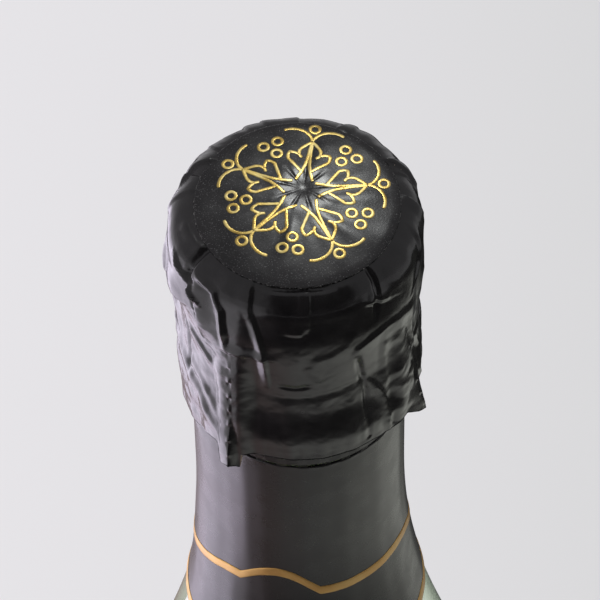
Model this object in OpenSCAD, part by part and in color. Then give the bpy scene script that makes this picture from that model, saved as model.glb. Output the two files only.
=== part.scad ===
// Sealed 750 ml champagne bottle: glass, wine, mushroom cork, wire cage and crumpled foil.
// Origin at the middle of the base, +Z up to the crown; the front faces -Y, +X is its right.
// Angles called turn are measured about +Z from the front, and grow towards +X.

/* [Bottle] */
// Height of the glass, from its bearing ring to its lip
bottle_h = 300; // [285:1:320]
// Diameter of the straight part of the body
body_d = 88.5; // [84:0.5:96]
// Height at which the straight side ends and the shoulder begins
side_h = 110; // [105:1:130]
// Distance from the lip down to where the shoulder has become the straight neck
neck_len = 40; // [36:1:60]
// How far the shoulder's curve is pushed towards the body
shoulder_bias = 1.1; // [1:0.05:1.3]
// Glass thickness of the side wall
side_wall = 4; // [3:0.1:5]
// Glass thickness over the bearing ring and the punt
base_wall = 7; // [4:0.1:9]
// Height of the heel's rounding
heel_h = 9; // [6:0.5:14]
// Depth of the punt
punt_h = 34; // [20:1:40]
// Diameter of the punt at its rim
punt_d = 62; // [54:1:66]
// Width of the flat ring that the bottle stands on
bearing_w = 4; // [2:0.5:6]

/* [Neck and mouth] */
// Outside diameter of the glass neck under its ring
neck_d = 29.2; // [28:0.1:29.6]
// Bore of the mouth and neck
bore_d = 17.8; // [17:0.1:19]
// Diameter of the bead round the lip
bead_d = 28.9; // [28:0.1:30]
// Height of the bead
bead_h = 6.5; // [5:0.25:8]
// Diameter of the waist between the bead and the ring
waist_d = 27.2; // [25:0.1:27.6]
// Diameter of the ring that the wire belt hooks under
ring_d = 32.8; // [32:0.1:34]
// Height of the ring
ring_h = 5; // [4:0.25:5.5]
// Distance from the lip down to the ring's underside
ring_drop = 16; // [15:0.25:18]
// Edge rounding of the lip, the bead and the ring
glass_round = 1.2; // [0.6:0.1:1.6]

/* [Wine] */
// Distance from the lip down to the wine's surface
fill_drop = 86; // [65:1:110]
// Gap between the wine's solid and the glass
wine_gap = 0.15; // [0.05:0.05:0.3]

/* [Cork] */
// Height of the cork's head above the lip
cork_head_h = 17; // [15:0.5:20]
// Diameter of the cork's head
cork_head_d = 31.5; // [30.5:0.1:33]
// Rounding of the head's upper edge, pressed by the cage
cork_round = 3; // [2:0.25:4]
// Height of the swelling from the lip to the head's full width
cork_swell = 6; // [4:0.5:8]
// Length of the shank inside the neck
cork_shank = 24; // [20:0.5:27]
// Thickness of each natural cork disc
cork_disc_t = 6; // [4:0.5:7]
// Radial clearance of the shank in the bore
cork_clear = 0.08; // [0.05:0.01:0.1]

/* [Wire cage] */
// Diameter of the frame's wire
frame_wire_d = 0.7; // [0.6:0.05:0.9]
// Diameter of the belt's wire
belt_wire_d = 1.2; // [1:0.05:1.4]
// Diameter of the wire ring on top of the plaque, at the wire's centre
crown_ring_d = 26.6; // [25:0.1:27.5]
// Turn of the first leg from the front
leg_turn = -34; // [-44:1:-24]
// Full twists in each leg
leg_twists = 5; // [3:1:7]
// Sheet thickness of the plaque
plaque_t = 0.3; // [0.2:0.05:0.5]
// Angle that the plaque's rim is bent down over the cork's edge
plaque_bend = 50; // [30:1:70]
// Height of the dome in the middle of the plaque
plaque_dome = 0.8; // [0.3:0.1:1]
// Height of the loop's twisted shank
loop_shank = 7; // [5:0.5:9]
// Height of the open part of the loop
loop_h = 9; // [7:0.5:11]
// Inside width of the loop
loop_w = 6.4; // [5:0.2:8]
// Full twists in the loop's shank
loop_twists = 2; // [1:0.5:3]
// Small gap between parts of the cage and what they press on
cage_gap = 0.05; // [0.03:0.01:0.1]

/* [Foil] */
// Thickness of the foil solids
foil_t = 0.2; // [0.1:0.05:0.3]
// Gap between the foil and the glass neck
foil_gap = 0.1; // [0.05:0.05:0.2]
// Room between the cage's wires and the foil
hood_ease = 0.15; // [0.15:0.05:0.4]
// Radial room of the hood round the glass ring
hood_ring_ease = 0.85; // [0.5:0.05:1.2]
// How much the hood draws in at the waist under the cork
hood_waist_in = 0.4; // [0:0.05:0.8]
// How far the folded fins stand out beyond the legs at the bottom
fin_out = 1.3; // [0.6:0.1:2]
// Distance from the hood's lip down to the tips of the fins
fin_drop = 4.6; // [3:0.2:5]
// Depth of the soft pleats in the skirt
pleat_depth = 0.12; // [0:0.02:0.2]
// Number of soft pleats round the skirt
pleat_count = 24; // [16:1:32]
// Diameter of the crown disc
crown_d = 28.2; // [26.5:0.1:29]
// Rise of the crown disc in its middle
crown_dome = 0.6; // [0.3:0.05:1]
// Depth of the dimple in the middle of the crown
dimple_h = 0.35; // [0:0.05:0.5]
// Radius of that dimple
dimple_r = 3; // [2:0.25:5]
// Height of the tear strip
strip_h = 3.6; // [3:0.1:4.5]
// Width of the perforated line
perforation = 0.2; // [0.1:0.05:0.4]
// Length of the sleeve on the neck, below the perforated line
sleeve_len = 78; // [60:1:100]
// Length of the pull tab round the neck
tab_len = 9.5; // [7:0.5:11]
// Turn of the tab's root from the front
tab_turn = 176; // [170:1:182]

/* [Gold print] */
// Thickness of the stamped gold
gold_t = 0.08; // [0.05:0.01:0.12]
// Width of the rosette's strokes
stroke_w = 0.44; // [0.3:0.02:0.6]
// Number of motifs in the rosette
motif_count = 5; // [4:1:5]
// Distance of the rosette's middle to the right of the axis
rosette_x = 0.6; // [-0.7:0.1:0.7]
// Distance of the rosette's middle behind the axis
rosette_y = 1.2; // [-1.2:0.1:1.2]
// Angle of the first motif, from +X
rosette_turn = 155; // [0:1:359]
// Distance of a motif's single berry from the rosette's middle
motif_reach = 11.4; // [10.6:0.1:11.6]
// Outside diameter of a berry ring
berry_d = 1.9; // [1.5:0.05:2.1]
// Distance of the berry clusters from the rosette's middle
berry_r = 9; // [8.5:0.1:9.4]
// Width of the gold lines on the neck
line_w = 1.4; // [1:0.1:2]
// Distance from the lip down to the upper gold line at the front
line_drop = 56.5; // [50:0.5:60]
// Height of the arch in the front of that line
arch_h = 4.2; // [2:0.1:6]
// How far the upper gold line falls towards the sides and back
line_fall = 6; // [3:0.5:8]
// Distance from the lip down to the lower gold line
lower_line_drop = 76.5; // [72:0.5:85]

/* [Labels] */
// Thickness of the label paper
label_t = 0.15; // [0.1:0.05:0.3]
// Gap between the paper and the glass
label_gap = 0.03; // [0.02:0.01:0.05]
// Width of the front label, measured straight across
front_label_w = 78; // [60:1:80]
// Height of the front label
front_label_h = 80; // [60:1:84]
// Width of the back label, measured straight across
back_label_w = 56; // [40:1:70]
// Height of the back label
back_label_h = 62; // [40:1:80]
// Height of the labels' middle above the base
label_mid = 62; // [58:0.5:64]

/* [Hidden] */

// Glass
body_r = body_d / 2;
neck_r = neck_d / 2;
bore_r = bore_d / 2;
bead_r = bead_d / 2;
waist_r = waist_d / 2;
ring_r = ring_d / 2;
shoulder_top = bottle_h - neck_len;
ring_under = bottle_h - ring_drop;
ring_top = ring_under + ring_h;
bead_under = bottle_h - bead_h;
punt_r = punt_d / 2;
bearing_r = punt_r + bearing_w;
punt_power = 2.2;
gutter_r = punt_r + base_wall / 2;
wine_z = bottle_h - fill_drop;
turned_fn = 96;

// Cork
cork_r = cork_head_d / 2;
cork_top = bottle_h + cork_head_h;
shank_r = bore_r - cork_clear;
cork_seat = 0.3;
glue_gap = 0.02;
shank_end = bottle_h - cork_shank;
edge_r = cork_r - cork_round;
edge_z = cork_top - cork_round;

// Cage
wire_r = frame_wire_d / 2;
strand_gap = 0.04;
leg_r = frame_wire_d;
belt_wire_r = belt_wire_d / 2;
crown_ring_r = crown_ring_d / 2;
leg_count = 4;
leg_step = 360 / leg_count;
plaque_in = cork_round + cage_gap;
plaque_out = plaque_in + plaque_t;
leg_over = plaque_out + cage_gap + wire_r;
crown_wire_z = edge_z + leg_over;
leg_head_r = cork_r + cage_gap + leg_r;
leg_ring_r = ring_r + cage_gap + leg_r;
leg_free_z = bottle_h + 1.33 * cork_swell;
eye_inner = belt_wire_r + cage_gap;
eye_wire = eye_inner + wire_r;
eye_out = eye_inner + frame_wire_d;
belt_r = neck_r + foil_gap + eye_out;
belt_z = ring_under - eye_out - cage_gap;
leg_end_z = belt_z + eye_out + 2 * cage_gap;
loop_turn = leg_turn - 1.5 * leg_step;
loop_base_r = max(ring_r + 4 * cage_gap, belt_r + belt_wire_r) + belt_wire_d;
loop_top_r = max(cork_r + 3 * cage_gap + belt_wire_r, loop_base_r - 1.3);
loop_foot = belt_z + belt_wire_r + 2 * cage_gap;
loop_tip = loop_foot + loop_shank + loop_h;

// Foil
hood_sides = 96;
roll_r = max(cork_round + plaque_t + frame_wire_d + 2 * cage_gap + hood_ease + foil_t,
    leg_head_r + foil_t - edge_r);
hood_top = edge_z + roll_r;
hood_head_r = edge_r + roll_r;
hood_ring_r = ring_r + hood_ring_ease;
hood_lip = belt_z - 2 * cage_gap - 0.15;
hood_waist_z = (bottle_h + ring_top) / 2;
hood_waist_r = max(hood_head_r - hood_waist_in, cork_r + foil_t + 0.3);
leg_cover = leg_r + hood_ease + foil_t;
loop_cover_r = loop_base_r + belt_wire_d + 1.05 + foil_t;
loop_cover_top = loop_tip + 0.55 * loop_h;
loop_cover_fade = 1.33 * loop_h;
collar_in = 10.5;
crown_r = crown_d / 2;
sleeve_in = neck_r + foil_gap;
sleeve_r = sleeve_in + foil_t;
strip_top = belt_z - eye_out - 4 * cage_gap;
strip_low = strip_top - strip_h;
strip_lip_r = belt_r + 0.8;
strip_curl = 1.3;
sleeve_top = strip_low - perforation;
sleeve_low = sleeve_top - sleeve_len;
tab_t = 0.25;
tab_r = sleeve_r + 0.1;
tab_low = strip_low + 0.15;
tab_h = strip_h - strip_curl - 0.15;
tab_arc = tab_len / tab_r * 180 / PI;

// Each fin: turn at its top, turn at its tip, width of its slope on the low and the high side
FINS = [[-34, -33, 24, 7], [56, 68, 24, 8], [146, 148, 20, 8], [236, 232, 8, 20]];

function ease(t) = t * t * (3 - 2 * t);
function clamp01(t) = max(0, min(1, t));
function at(turn, r, z) = [r * sin(turn), -r * cos(turn), z];
function off_turn(a, b) = let (d = (a - b) % 360) d > 180 ? d - 360 : d < -180 ? d + 360 : d;

// Share of the way from the neck's radius to the body's, at height z
function shoulder_share(z) =
    ease(pow(clamp01((shoulder_top - z) / (shoulder_top - side_h)), shoulder_bias));
function outer_r(z) = neck_r + (body_r - neck_r) * shoulder_share(z);
function inner_r(z) = bore_r + (body_r - side_wall - bore_r) * shoulder_share(z);

// Half sections of the glass, from the axis outwards and up
function punt_curve(r_rim, lift) = [for (i = [0 : 14])
    let (s = i / 14) [r_rim * s, lift + punt_h * (1 - pow(s, punt_power))]];
function heel_curve(r0, r1, lift) = [for (i = [1 : 8])
    let (a = i * 90 / 8) [r0 + (r1 - r0) * sin(a), lift + heel_h * (1 - cos(a))]];
function shoulder_curve(top, inset, inside) = [for (i = [0 : 28])
    let (z = side_h + (top - side_h) * i / 28)
    [(inside ? inner_r(z) : outer_r(z)) - inset, z]];
function round_out(r, z, a0, a1, rad) = [for (i = [0 : 4])
    let (a = a0 + (a1 - a0) * i / 4) [r + rad * cos(a), z + rad * sin(a)]];

mouth_curve = concat(
    [[neck_r, ring_under - 0.8], [neck_r + 0.6, ring_under]],
    round_out(ring_r - glass_round, ring_under + glass_round, -90, 0, glass_round),
    round_out(ring_r - glass_round, ring_top - glass_round, 0, 90, glass_round),
    [[waist_r + 0.5, ring_top], [waist_r, ring_top + 0.8]],
    [[waist_r, bead_under - 0.6], [bead_r - 0.5, bead_under]],
    round_out(bead_r - glass_round, bottle_h - glass_round, 0, 90, glass_round),
    round_out(bore_r + glass_round, bottle_h - glass_round, 90, 180, glass_round));

function reversed(list) = [for (i = [len(list) - 1 : -1 : 0]) list[i]];

function inside_curve(gap, top) = concat(
    punt_curve(gutter_r + gap, base_wall + gap),
    heel_curve(gutter_r + gap, body_r - side_wall - gap, base_wall + gap),
    shoulder_curve(top, gap, true));

module turned(profile) {
    rotate_extrude($fn = turned_fn) polygon(profile);
}

module glass_bottle() {
    color([0.05, 0.16, 0.07, 0.6]) turned(concat(
        punt_curve(punt_r, 0),
        [[bearing_r, 0]],
        heel_curve(bearing_r, body_r, 0),
        shoulder_curve(shoulder_top, 0, false),
        mouth_curve,
        reversed(inside_curve(0, shoulder_top))));
}

module wine() {
    color([0.85, 0.7, 0.25, 0.6]) turned(concat(inside_curve(wine_gap, wine_z), [[0, wine_z]]));
}

module cork_body() {
    low = shank_end + 2 * (cork_disc_t + glue_gap);
    swell = [for (i = [0 : 8]) let (a = i * 90 / 8)
        [shank_r + (cork_r - shank_r) * sin(a), bottle_h + cork_seat + cork_swell * (1 - cos(a))]];
    color([0.76, 0.58, 0.38]) turned(concat(
        [[0, low], [shank_r, low]],
        swell,
        round_out(edge_r, edge_z, 0, 90, cork_round),
        [[0, cork_top]]));
}

module cork_slice(low) {
    color([0.8, 0.63, 0.42])
        translate([0, 0, low]) cylinder(r = shank_r, h = cork_disc_t, $fn = turned_fn);
}

module cork_disc_upper() {
    cork_slice(shank_end + cork_disc_t + glue_gap);
}

module cork_disc_lower() {
    cork_slice(shank_end);
}

// One face of the plaque, at the given distance from the middle of the cork's rounded edge
function plaque_face(out) = concat(
    [for (i = [0 : 6]) let (s = i / 6)
        [edge_r * s * 0.9, edge_z + out + plaque_dome * (1 - ease(s))]],
    [for (i = [0 : 5]) let (a = 90 - plaque_bend * i / 5)
        [edge_r + out * cos(a), edge_z + out * sin(a)]]);

module plaque() {
    color([0.72, 0.6, 0.3]) turned(concat(plaque_face(plaque_out), reversed(plaque_face(plaque_in))));
}

// Middle line of a leg in its own upright plane, as [distance from the axis, height]
leg_line = concat(
    [[crown_ring_r, crown_wire_z]],
    [for (i = [0 : 4]) let (a = 80 - 20 * i)
        [edge_r + leg_over * cos(a) + (leg_head_r - edge_r - leg_over) * (1 - sin(a)),
            edge_z + leg_over * sin(a)]],
    [[leg_head_r, leg_free_z], [leg_ring_r, ring_top], [leg_ring_r, leg_end_z]]);

function line_lengths(line, i = 1, sums = [0]) = i == len(line) ? sums :
    line_lengths(line, i + 1, concat(sums, [sums[i - 1] + norm(line[i] - line[i - 1])]));
leg_lengths = line_lengths(leg_line);
leg_len = leg_lengths[len(leg_line) - 1];
function leg_at(s, i = 1) = s <= leg_lengths[i] || i == len(leg_line) - 1 ?
    leg_line[i - 1] + (leg_line[i] - leg_line[i - 1])
        * (s - leg_lengths[i - 1]) / (leg_lengths[i] - leg_lengths[i - 1]) :
    leg_at(s, i + 1);
twist_start = leg_lengths[5];
function leg_phase(s) = 360 * leg_twists * clamp01((s - twist_start) / (leg_len - twist_start));
function leg_center_r(z) = z > leg_free_z ? leg_head_r : z < ring_top ? leg_ring_r :
    leg_head_r + (leg_ring_r - leg_head_r) * (leg_free_z - z) / (leg_free_z - ring_top);

// A tube through rings of points: each ring has the same number of points, all in order
module tube(rings) {
    n = len(rings[0]);
    last = len(rings) - 1;
    polyhedron([for (ring = rings) for (p = ring) p], concat(
        [for (i = [0 : last - 1]) for (j = [0 : n - 1]) let (k = (j + 1) % n)
            each [[i * n + j, i * n + k, i * n + n + k], [i * n + j, i * n + n + k, i * n + n + j]]],
        [[for (j = [n - 1 : -1 : 0]) j], [for (j = [0 : n - 1]) last * n + j]]), convexity = 6);
}

// One of a leg's two strands, which wind about the leg's middle line
module leg_strand(turn, start) {
    steps = 40;
    side = [cos(turn), sin(turn), 0];
    tube([for (i = [0 : steps])
        let (s = leg_len * i / steps, p = leg_at(s), q = leg_at(min(s + 0.4, leg_len)),
            b = leg_at(max(s - 0.4, 0)), d = (q - b) / norm(q - b),
            up = at(turn, d[1], 0) + [0, 0, -d[0]],
            phase = start + leg_phase(s),
            middle = at(turn, p[0], p[1])
                + (1 + strand_gap) * wire_r * (cos(phase) * side + sin(phase) * up))
        [for (j = [0 : 5])
            middle + (1 - strand_gap) * wire_r * (cos(60 * j) * side + sin(60 * j) * up)]]);
}

module wire_frame() {
    color([0.7, 0.7, 0.72]) {
        translate([0, 0, crown_wire_z]) rotate_extrude($fn = 60)
            translate([crown_ring_r, 0]) circle(r = wire_r, $fn = 14);
        for (i = [0 : leg_count - 1]) {
            leg_strand(leg_turn + leg_step * i, 0);
            leg_strand(leg_turn + leg_step * i, 180);
        }
    }
}

// Rings in which the legs end, round the belt
module leg_eyes() {
    color([0.7, 0.7, 0.72])
        for (i = [0 : leg_count - 1])
            rotate([0, 0, leg_turn + leg_step * i])
                translate([0, -belt_r, belt_z]) rotate([0, 90, 0])
                    rotate_extrude($fn = 32) translate([eye_wire, 0]) circle(r = wire_r, $fn = 16);
}

module wire_belt() {
    color([0.72, 0.72, 0.74])
        translate([0, 0, belt_z]) rotate_extrude($fn = 72)
            translate([belt_r, 0]) circle(r = belt_wire_r, $fn = 16);
}

// The loop's wire as [sideways, up, outwards]: up one twisted strand, round the eye and back
loop_turns = 360 * loop_twists;
function loop_twist(h) = let (a = loop_turns * (1 - h / loop_shank)) [cos(a), sin(a)];
loop_wire = concat(
    [for (i = [0 : 13]) let (h = loop_shank * i / 14, c = loop_twist(h))
        [belt_wire_r * c[0], h, belt_wire_r * c[1]]],
    [for (i = [0 : 20]) let (a = i * 18)
        [belt_wire_r * cos(a / 2) + (loop_w / 2 + belt_wire_r) * sin(a),
            loop_shank + loop_h * (1 - cos(a)) / 2, 0]],
    [for (i = [13 : -1 : 0]) let (h = loop_shank * i / 14, c = loop_twist(h))
        [-belt_wire_r * c[0], h, -belt_wire_r * c[1]]]);
function loop_lean(h) = (loop_top_r - loop_base_r) * clamp01((h - loop_shank) / loop_h);
function loop_point(p) =
    at(loop_turn, loop_base_r + loop_lean(p[1]) + p[2], loop_foot + p[1])
        + p[0] * [cos(loop_turn), sin(loop_turn), 0];

module wire_loop() {
    path = [for (p = loop_wire) loop_point(p)];
    last = len(path) - 1;
    r = belt_wire_r * 0.96;
    color([0.72, 0.72, 0.74]) tube([for (i = [0 : last])
        let (d = path[min(i + 1, last)] - path[max(i - 1, 0)], t = d / norm(d),
            out = at(loop_turn, 1, 0), b0 = cross(t, out), b = b0 / norm(b0), a = cross(b, t))
        [for (j = [0 : 7]) path[i] + r * (cos(45 * j) * b + sin(45 * j) * a)]]);
}

// Radius of the hood's skirt between the legs: head, waist, ring and lip
hood_stations = [[edge_z, hood_head_r], [bottle_h + 1.17 * cork_swell, hood_head_r + 0.1],
    [hood_waist_z, hood_waist_r], [(ring_under + ring_top) / 2 + 1, hood_ring_r],
    [hood_lip, hood_ring_r - 0.15], [hood_lip - fin_drop, hood_ring_r - 0.15]];
function skirt_r(z, i = 1) = i == len(hood_stations) - 1 || z >= hood_stations[i][0] ?
    let (a = hood_stations[i - 1], b = hood_stations[i])
        a[1] + (b[1] - a[1]) * ease(clamp01((a[0] - z) / (a[0] - b[0]))) :
    skirt_r(z, i + 1);

// A level top of the given half width with a slope on either side, from 1 to 0
function plateau(d, half, slope) = ease(1 - clamp01((abs(d) - half) / slope));

function leg_near(turn) = max([for (i = [0 : leg_count - 1])
    plateau(off_turn(turn, leg_turn + leg_step * i), 5, 9)]);
function loop_near(turn) = plateau(off_turn(turn, loop_turn), 19, 10);

// Height share of the fins at a turn; low runs from 0 at the cork's head to 1 at the tips
function fin_shape(turn, low) = max([for (f = FINS)
    let (d = off_turn(turn, f[0] + leg_turn + 34 + (f[1] - f[0]) * low))
        d < 0 ? clamp01(1 + d / f[2]) : clamp01(1 - d / f[3])]);
fin_start = bottle_h + 0.67 * cork_swell;
function fin_low(z) = clamp01((fin_start - z) / (fin_start - hood_lip + fin_drop));

function pleats(turn, z) = pleat_depth * cos(pleat_count * turn + 3 * z)
    * clamp01((hood_waist_z + 6 - z) / 8);

// Outside radius of the hood at a turn and height
function hood_r(turn, z) =
    let (base = skirt_r(z), low = fin_low(z),
        leg = leg_center_r(z) + leg_cover,
        ridge = leg + fin_out * low,
        loop = base + (loop_cover_r - base) * ease(clamp01((loop_cover_top - z) / loop_cover_fade)))
    max(base + pleats(turn, z) + pleat_depth,
        base + (leg - base) * leg_near(turn),
        base + (ridge - base) * fin_shape(turn, low) * ease(low),
        base + (loop - base) * loop_near(turn));

// Height of the crown's surface over the turned-in collar of the hood
function crown_z(r) = hood_top
    + crown_dome * (1 - pow(min(r, edge_r) / edge_r, 2))
    - dimple_h * pow(max(0, 1 - r / dimple_r), 2)
    - (r > edge_r ? roll_r - sqrt(pow(roll_r, 2) - pow(r - edge_r, 2)) : 0);

roll_rows = 6;
skirt_rows = 15;
function hood_collar(turn, r, inset) = at(turn, r, crown_z(r) - 3 * glue_gap - inset);
function hood_roll(turn, i, inset) =
    let (a = 90 - 90 * i / roll_rows,
        swell = (hood_r(turn, edge_z) - hood_head_r) * ease(i / roll_rows),
        rad = roll_r + swell - inset)
    at(turn, edge_r + rad * cos(a), edge_z - 3 * glue_gap + rad * sin(a));
function hood_skirt(turn, i, inset) =
    let (low = hood_lip - fin_drop * fin_shape(turn, 1),
        z = edge_z + (low - edge_z) * i / skirt_rows)
    at(turn, hood_r(turn, z) - inset, z);
function hood_row(turn, inset) = concat(
    [hood_collar(turn, collar_in, inset)],
    [for (i = [0 : roll_rows - 1]) hood_roll(turn, i, inset)],
    [for (i = [0 : skirt_rows]) hood_skirt(turn, i, inset)]);

// A closed sheet: each strip runs down the outside and back up the inside
module foil_hood() {
    strips = [for (k = [0 : hood_sides - 1]) let (turn = 360 * k / hood_sides)
        concat(hood_row(turn, 0), reversed(hood_row(turn, foil_t)))];
    n = len(strips[0]);
    color([0.07, 0.07, 0.08]) polyhedron([for (s = strips) for (p = s) p],
        [for (k = [0 : hood_sides - 1]) for (j = [0 : n - 1])
            let (a = k * n, b = ((k + 1) % hood_sides) * n, m = (j + 1) % n)
            each [[a + j, b + j, b + m], [a + j, b + m, a + m]]], convexity = 6);
}

module crown_disc() {
    radii = [for (i = [0 : 12]) crown_r * i / 12];
    color([0.08, 0.08, 0.09]) turned(concat(
        [for (r = radii) [r, crown_z(r) + foil_t]],
        [for (i = [12 : -1 : 0]) [radii[i], crown_z(radii[i])]]));
}

// A flat stroke along a line of points on the crown, following its dome
module stroke(line, closed) {
    n = len(line);
    last = n - 1;
    rings = [for (i = [0 : last])
        let (p = line[i],
            q = line[closed ? (i + 1) % n : min(i + 1, last)],
            b = line[closed ? (i + last) % n : max(i - 1, 0)],
            d = (q - b) / norm(q - b), side = [-d[1], d[0]] * stroke_w / 2,
            left = p + side, right = p - side,
            zl = crown_z(norm(left)) + foil_t + glue_gap / 2,
            zr = crown_z(norm(right)) + foil_t + glue_gap / 2)
        [[left[0], left[1], zl], [right[0], right[1], zr],
            [right[0], right[1], zr + gold_t], [left[0], left[1], zl + gold_t]]];
    if (closed) polyhedron([for (ring = rings) for (p = ring) p],
        [for (i = [0 : last]) for (j = [0 : 3])
            let (a = i * 4, b = ((i + 1) % n) * 4, k = (j + 1) % 4)
            each [[a + j, a + k, b + k], [a + j, b + k, b + j]]]);
    else tube(rings);
}

// Place of a motif's own point: outwards along the motif's axis and across it
function on_motif(k, out, across) =
    let (a = rosette_turn + 360 * k / motif_count)
    [rosette_x + out * cos(a) - across * sin(a), rosette_y + out * sin(a) + across * cos(a)];

berry_line_r = (berry_d - stroke_w) / 2;
function berry(k, out, across) = [for (i = [0 : 13]) let (a = -360 * i / 14)
    on_motif(k, out + berry_line_r * cos(a), across + berry_line_r * sin(a))];

// Half a vine leaf in shares of the motif's reach, from its tip past two lobes to the stem
leaf_half = [[0.798, 0.022], [0.75, 0.07], [0.711, 0.114], [0.645, 0.105], [0.592, 0.07],
    [0.623, 0.132], [0.654, 0.202], [0.579, 0.211], [0.474, 0.14], [0.386, 0.066], [0.342, 0.026]];
berry_spread = 0.63 * berry_d;

module rosette_print() {
    color([0.85, 0.68, 0.25]) for (k = [0 : motif_count - 1]) {
        stroke(berry(k, motif_reach, 0), true);
        for (b = [0 : 2])
            stroke(berry(k + 0.5, berry_r + berry_spread * cos(120 * b),
                berry_spread * sin(120 * b)), true);
        for (side = [-1, 1]) {
            stroke([for (p = leaf_half * motif_reach) on_motif(k, p[0], side * p[1])], false);
            stroke([for (i = [0 : 7]) let (a = 10 + i * 10)
                on_motif(k, motif_reach * (1.105 - 0.263 * cos(a)),
                    side * motif_reach * (0.018 + 0.342 * sin(a)))], false);
            stroke([for (i = [0 : 3]) on_motif(k, motif_reach * (0.29 - 0.022 * i),
                side * motif_reach * (0.035 + 0.026 * i))], false);
        }
    }
}

module tear_strip() {
    k = strip_curl;
    inner = [[strip_lip_r, strip_top - 0.15 * k], [sleeve_in + 0.6, strip_top - 0.35 * k],
        [sleeve_in + 0.1, strip_top - 0.65 * k], [sleeve_in, strip_top - 0.92 * k],
        [sleeve_in, strip_low]];
    outer = [[sleeve_r, strip_low], [sleeve_r, strip_top - k],
        [sleeve_r + 0.12, strip_top - 0.78 * k], [sleeve_r + 0.6, strip_top - 0.5 * k],
        [strip_lip_r, strip_top - 0.32 * k]];
    color([0.07, 0.07, 0.08]) turned(concat(inner, outer));
}

// A curved strip of foil that lies on the tear strip, from its root round the neck
module pull_tab() {
    mid = tab_turn + tab_arc / 2;
    color([0.1, 0.1, 0.11]) intersection() {
        translate([0, 0, tab_low]) difference() {
            cylinder(r = tab_r + tab_t, h = tab_h, $fn = turned_fn);
            translate([0, 0, -1]) cylinder(r = tab_r, h = tab_h + 2, $fn = turned_fn);
        }
        rotate([0, 0, mid]) translate([-tab_r * sin(tab_arc / 2), -2 * tab_r, tab_low - 1])
            cube([2 * tab_r * sin(tab_arc / 2), 2 * tab_r, tab_h + 2]);
    }
}

// Outside radius of the sleeve at height z
function sleeve_at(z) = outer_r(z) + foil_gap + foil_t;

module neck_sleeve() {
    heights = [for (i = [0 : 20]) sleeve_low + (shoulder_top - sleeve_low) * i / 20];
    color([0.09, 0.09, 0.1]) turned(concat(
        [for (z = heights) [sleeve_at(z), z]],
        [[sleeve_r, sleeve_top], [sleeve_in, sleeve_top]],
        [for (i = [20 : -1 : 0]) [sleeve_at(heights[i]) - foil_t, heights[i]]]));
}

// Height of the upper gold line: an arch in front, and a fall towards the sides
arch_left = -38;
arch_right = 8;
function line_z(turn) =
    let (d = off_turn(turn, 0), s = (d - arch_left) / (arch_right - arch_left))
    bottle_h - line_drop
        + (s > 0 && s < 1 ? arch_h * sin(180 * s) : 0)
        - line_fall * ease(clamp01((abs(d - 12) - 48) / 60));
function line_point(turn, up, out) =
    let (z = line_z(turn) + up) at(turn, sleeve_at(z) + out, z);

module gold_line_upper() {
    n = 120;
    low = glue_gap;
    high = glue_gap + gold_t;
    h = line_w / 2;
    rings = [for (i = [0 : n - 1]) let (turn = 360 * i / n)
        [line_point(turn, -h, low), line_point(turn, -h, high),
            line_point(turn, h, high), line_point(turn, h, low)]];
    color([0.85, 0.62, 0.3]) polyhedron([for (ring = rings) for (p = ring) p],
        [for (i = [0 : n - 1]) for (j = [0 : 3])
            let (a = i * 4, b = ((i + 1) % n) * 4, k = (j + 1) % 4)
            each [[a + j, a + k, b + k], [a + j, b + k, b + j]]]);
}

module gold_line_lower() {
    z = bottle_h - lower_line_drop;
    h = line_w / 2;
    low = glue_gap;
    high = glue_gap + gold_t;
    color([0.85, 0.62, 0.3]) turned([[sleeve_at(z - h) + low, z - h], [sleeve_at(z - h) + high, z - h],
        [sleeve_at(z + h) + high, z + h], [sleeve_at(z + h) + low, z + h]]);
}

// A sheet of paper round the body, centred on a turn
module label(turn, w, h) {
    r = body_r + label_gap;
    low = label_mid - h / 2;
    rotate([0, 0, turn]) intersection() {
        translate([0, 0, low]) difference() {
            cylinder(r = r + label_t, h = h, $fn = turned_fn);
            translate([0, 0, -1]) cylinder(r = r, h = h + 2, $fn = turned_fn);
        }
        translate([-w / 2, -2 * r, low - 1]) cube([w, 2 * r, h + 2]);
    }
}

module front_label() {
    color([0.9, 0.88, 0.8]) label(0, front_label_w, front_label_h);
}

module back_label() {
    color([0.9, 0.88, 0.8]) label(180, back_label_w, back_label_h);
}

glass_bottle();
wine();
cork_body();
cork_disc_upper();
cork_disc_lower();
plaque();
wire_frame();
leg_eyes();
wire_belt();
wire_loop();
foil_hood();
crown_disc();
rosette_print();
tear_strip();
pull_tab();
neck_sleeve();
gold_line_upper();
gold_line_lower();
front_label();
back_label();
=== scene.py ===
import math

import bpy
import numpy as np
from mathutils import Matrix, Vector


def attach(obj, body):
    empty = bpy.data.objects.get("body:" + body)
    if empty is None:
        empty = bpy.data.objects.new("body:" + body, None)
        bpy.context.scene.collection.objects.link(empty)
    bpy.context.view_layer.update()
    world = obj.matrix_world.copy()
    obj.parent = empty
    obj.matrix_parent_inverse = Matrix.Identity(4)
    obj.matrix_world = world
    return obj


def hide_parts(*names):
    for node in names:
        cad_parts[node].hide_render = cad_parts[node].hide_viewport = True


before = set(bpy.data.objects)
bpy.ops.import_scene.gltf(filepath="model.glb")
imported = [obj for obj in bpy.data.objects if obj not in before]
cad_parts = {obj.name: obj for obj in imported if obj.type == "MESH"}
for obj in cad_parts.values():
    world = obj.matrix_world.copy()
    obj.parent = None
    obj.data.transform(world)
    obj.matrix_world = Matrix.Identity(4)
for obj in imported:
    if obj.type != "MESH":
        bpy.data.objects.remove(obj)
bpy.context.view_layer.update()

# Glass bottle: one piece of light green glass from a mould, with a deep punt in its base, a bead
# at the lip and a ring under the bead that the wire cage hooks on.
MM = 0.001
BODY_R = 44.25
NECK_R = 14.6
BORE_R = 8.9
WALL = 4.0
PUNT_R = 31.0
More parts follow.
